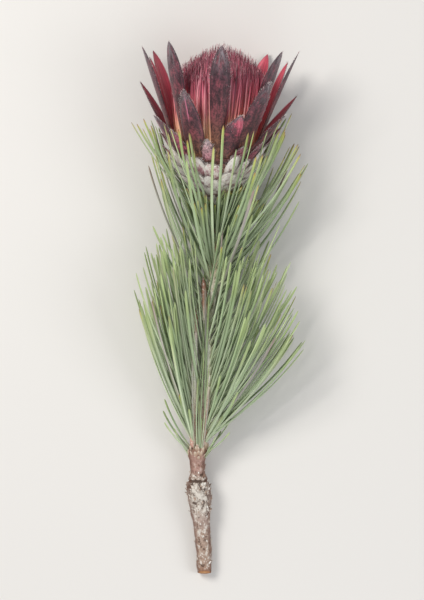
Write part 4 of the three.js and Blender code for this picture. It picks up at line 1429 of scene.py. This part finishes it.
# Half widths along a floret
FLORET_WIDTHS = 0.86 * np.array([0.9, 0.95, 1, 1, 0.98, 0.94, 0.9, 0.72, 0.12])
FLORET_FLATNESS = 0.62
FLORET_CLEAR = 1.2  # above the surface
BEARD_HAIRS = 3
BEARD_LENGTH = (1.4, 4)
BEARD_SPREAD = 0.55  # sideways against onwards
BEARD_HALF_WIDTHS = (0.17, 0.13, 0.03)
BEARD_HALF_DEPTHS = (0.14, 0.1, 0.03)
BARE_MIDDLE = 0.3  # within this share of the field only every other floret has a beard
# Radius against height of the dense core that shows between the outer florets
FLORET_CORE = [(33, 27.4), (53, 30.4), (68, 31.8), (78, 31.6), (86, 28.5), (95, 21), (101, 12), (105, 2)]


def floret_line(i, root_radius, azimuth):
    """The line of a floret, which bellies out and turns a little round the axis."""
    t = np.linspace(0, 1, len(FLORET_WIDTHS))
    tip_radius = root_radius * FLORET_FLARE + FLORET_SPREAD * spread(i, 42)
    tip = through(FLORET_DOME, tip_radius) * (1 + FLORET_TIP_SPREAD * spread(i, 43))
    tip -= LEFT_DROP * min(1, max(0, -math.sin(azimuth)) * tip_radius / LEFT_REACH)
    least, more = FLORET_BELLY
    belly = least + more * math.sin(math.pi * min(1, root_radius / FLORET_FIELD))
    radius = root_radius + (tip_radius - root_radius) * t + belly * np.sin(np.pi * t) * (0.4 + draw(i, 44))
    turn = azimuth + math.radians(FLORET_TURN * spread(i, 45)) * t * t
    line = head_point(radius, turn, FLORET_ROOT + (tip - FLORET_ROOT) * t)
    line[:, 2] = pressed(line[:, 2], FLORET_CLEAR)
    return line


def beard_hair(shape, line, outward, number):
    """Adds a hair that stands off the last stretch of a floret."""
    last = line[-1] - line[-2]
    start = line[-2] + last * draw(number, 47)
    way = unit(unit(last) + BEARD_SPREAD * np.array([spread(number, c) for c in (48, 49, 50)]))
    reach = drawn_from(BEARD_LENGTH, number, 51)
    s = np.array((0, 0.55, 1))[:, None]
    hair = start + way * reach * s + HEAD_AXIS * 0.15 * reach * s * s
    hair[:, 2] = np.maximum(hair[:, 2], 0.3)
    strand(shape, hair, outward, BEARD_HALF_WIDTHS, BEARD_HALF_DEPTHS, 3, draw(number, 52))


def floret_pieces(silk, dark_hair):
    """The florets with their dense core, and the woolly hairs of their tips."""
    florets, beard = Shape(), Shape()
    for i in range(FLORETS):
        root_radius = FLORET_FIELD * math.sqrt((i + 0.5) / FLORETS)
        azimuth = math.radians(i * GOLDEN_ANGLE + 6 * spread(i, 41))
        line = floret_line(i, root_radius, azimuth)
        outward = unit(head_point(1, azimuth, 0) - HEAD_BASE)
        strand(florets, line, outward, FLORET_WIDTHS, FLORET_FLATNESS * FLORET_WIDTHS, 5, draw(i, 46))
        if root_radius >= BARE_MIDDLE * FLORET_FIELD or i % 2 == 0:
            for n in range(BEARD_HAIRS):
                beard_hair(beard, line, outward, i * 20 + n)
    revolved(florets, FLORET_CORE, (33, 105), steps=40, sides=96, drawn=0.62, along=0.86, across=1.0)
    florets.piece("florets", [silk], "floret", "floret_mass")
    beard.piece("floret_beards", [dark_hair], "floret")


# Dry bud scales and bark flakes

BUD_SCALES = 40
BUD_SCALE_Y = (88.5, 99.5)
BUD_SCALE_LENGTH = (2.6, 5.4)
BUD_SCALE_WIDTH = 0.34  # half its width against its length
BUD_SCALE_LIFT = (0.9, 2.2)
FLAKES = 420
FLAKE_Y = (6, 86)
KNOB_FLAKE_Y = (44, 78)  # of every other one
FLAKE_WIDTH = 0.4
DRY_ROOT_DEPTH = 0.35  # both kinds start this deep in the bark
OFF_CREASE = 2  # flakes stay this far from the crease's lower edge


def curled_scale(shape, number, y, angle, length, half, lift, thickness, rows, columns):
    """Adds a small dry scale that stands on the bark and curls away from it."""
    base = through(WOOD_RADIUS, y) + scar_height(y, angle) - DRY_ROOT_DEPTH
    outward = np.array((math.sin(angle), 0, math.cos(angle)))
    sideways = np.array((math.cos(angle), 0, -math.sin(angle)))
    centre = np.array((through(WOOD_X, y), y, axis_height(y)))
    v, u = blade_shares(rows, columns)
    rise = lift * v + 0.8 * lift * spread(number, 66) * v**3 - 0.35 * half * u * u
    width = half * np.sqrt(np.maximum(1 - v**2, 0.02)) * (0.7 + 0.5 * v)
    way = unit(np.array((0, 1, RISE)) + sideways * 0.6 * spread(number, 68))
    grid = (
        centre
        + outward * (base + rise)[..., None]
        + np.cross(way, outward) * (u * width)[..., None]
        + way * (length * v + 0 * u)[..., None]
    )
    grid[..., 2] = np.maximum(grid[..., 2], 0.4)
    slab(shape, grid, blade_thickness(rows, columns, thickness), draw(number, 67), (0, 0, 0))


def dry_scale_pieces(dry, pale):
    """Curled dry scales round the knuckle, and pale flakes of bark all over the wood."""
    scales, flakes = Shape(), Shape()
    for n in range(BUD_SCALES):
        y, angle = drawn_from(BUD_SCALE_Y, n, 61), 2 * math.pi * draw(n, 63)
        length, lift = drawn_from(BUD_SCALE_LENGTH, n, 64), drawn_from(BUD_SCALE_LIFT, n, 65)
        half = BUD_SCALE_WIDTH * length
        curled_scale(scales, n, y, angle, length, half, lift, thickness=0.5, rows=8, columns=7)
    for n in range(FLAKES):
        number = 1000 + n
        y = drawn_from(FLAKE_Y if n % 2 else KNOB_FLAKE_Y, number, 62)
        if abs(y - CREASE[0] + 1) < OFF_CREASE:
            continue
        angle = 2 * math.pi * draw(number, 63)
        length = 1.2 + 2.4 * draw(number, 64) ** 1.5
        lift = 0.4 + 1.5 * draw(number, 65) ** 2
        half = FLAKE_WIDTH * length
        curled_scale(flakes, number, y, angle, length, half, lift, thickness=0.35, rows=5, columns=5)
    scales.piece("dry_scales", [dry], "bark")
    flakes.piece("bark_flakes", [pale], "bark")


# The stage

IMAGE_SIZE = (424, 600)
PIXEL = 0.8 * MM  # one pixel of the picture on the surface
IMAGE_MIDDLE = (5.6, 217.6)  # the picture's middle in the stem's own frame
LENS = 600
SENSOR = 36
FLOOR_HALF = 3.0  # metres from the middle of the floor to its sides
FLOOR_Z = -0.0002
SKY = (0.93, 0.95, 1, 1)
SKY_STRENGTH = 0.42
AIM = (0, 0.03, 0.03)  # what the lamps point at


def area_light(name, place, target, size, power, colour=(1, 1, 1)):
    light = bpy.data.lights.new(name, "AREA")
    light.shape = "DISK"
    light.size = size
    light.energy = power
    light.color = colour
    lamp = in_scene(name, light)
    lamp.location = place
    lamp.rotation_euler = (Vector(target) - Vector(place)).to_track_quat("-Z", "Y").to_euler()


def floor():
    mesh = bpy.data.meshes.new("floor")
    half, z = FLOOR_HALF, FLOOR_Z
    corners = [(-half, -half, z), (half, -half, z), (half, half, z), (-half, half, z)]
    mesh.from_pydata(corners, [], [(0, 1, 2, 3)])
    f = Finish("floor", 0.9, 0.2)
    f.feed(f.shader.inputs["Base Color"], "DEDBD6")
    mesh.materials.append(f.material)
    in_scene("floor", mesh)


def camera():
    made = bpy.data.cameras.new("camera")
    made.lens = LENS
    made.sensor_width = SENSOR
    distance = IMAGE_SIZE[1] * PIXEL / SENSOR * LENS
    middle = (np.array((*IMAGE_MIDDLE, 0)) + SHIFT) * MM
    eye = in_scene("camera", made)
    eye.location = (middle[0], middle[1], distance)
    bpy.context.scene.camera = eye


def light():
    world = bpy.data.worlds.new("studio")
    world.use_nodes = True
    background = world.node_tree.nodes["Background"].inputs
    background["Color"].default_value = SKY
    background["Strength"].default_value = SKY_STRENGTH
    bpy.context.scene.world = world
    area_light("key", (-0.9, 0.7, 1.3), AIM, 0.7, 21, (1, 0.98, 0.95))
    area_light("fill", (1.2, -0.2, 1.1), AIM, 1.0, 8, (0.95, 0.97, 1))
    area_light("low", (0.1, -1.3, 0.6), (0, 0, 0.03), 0.8, 5)
    bpy.context.scene.view_settings.view_transform = "Standard"


# The whole flower

camera()
floor()
light()

bark = bark_finish()
bark_points = wood_piece(bark)
end_face("cut_face", bark_points[0], -0.2, 0.0, cut_finish(), False)
end_face("knuckle_top", bark_points[-1], 0.4, 1.0, bark, True)
dry_scale_pieces(bud_scale_finish(), flake_finish())

leaf = needle_finish()
shoot_bark = shoot_finish()
found = place_needles()
for name, shoot in SHOOTS.items():
    own = [entry for entry in found if entry[0] == name]
    roots = [needle_root(group, index, attempt)[1:] for _, index, attempt, group in own]
    shoot_stem(name, shoot, roots, shoot_bark)
    needles_piece(name, own, leaf)

involucre_pieces((bract_outer_finish(), bract_inner_finish(), scale_finish(), silver_finish()))
floret_pieces(floret_finish(), beard_finish())
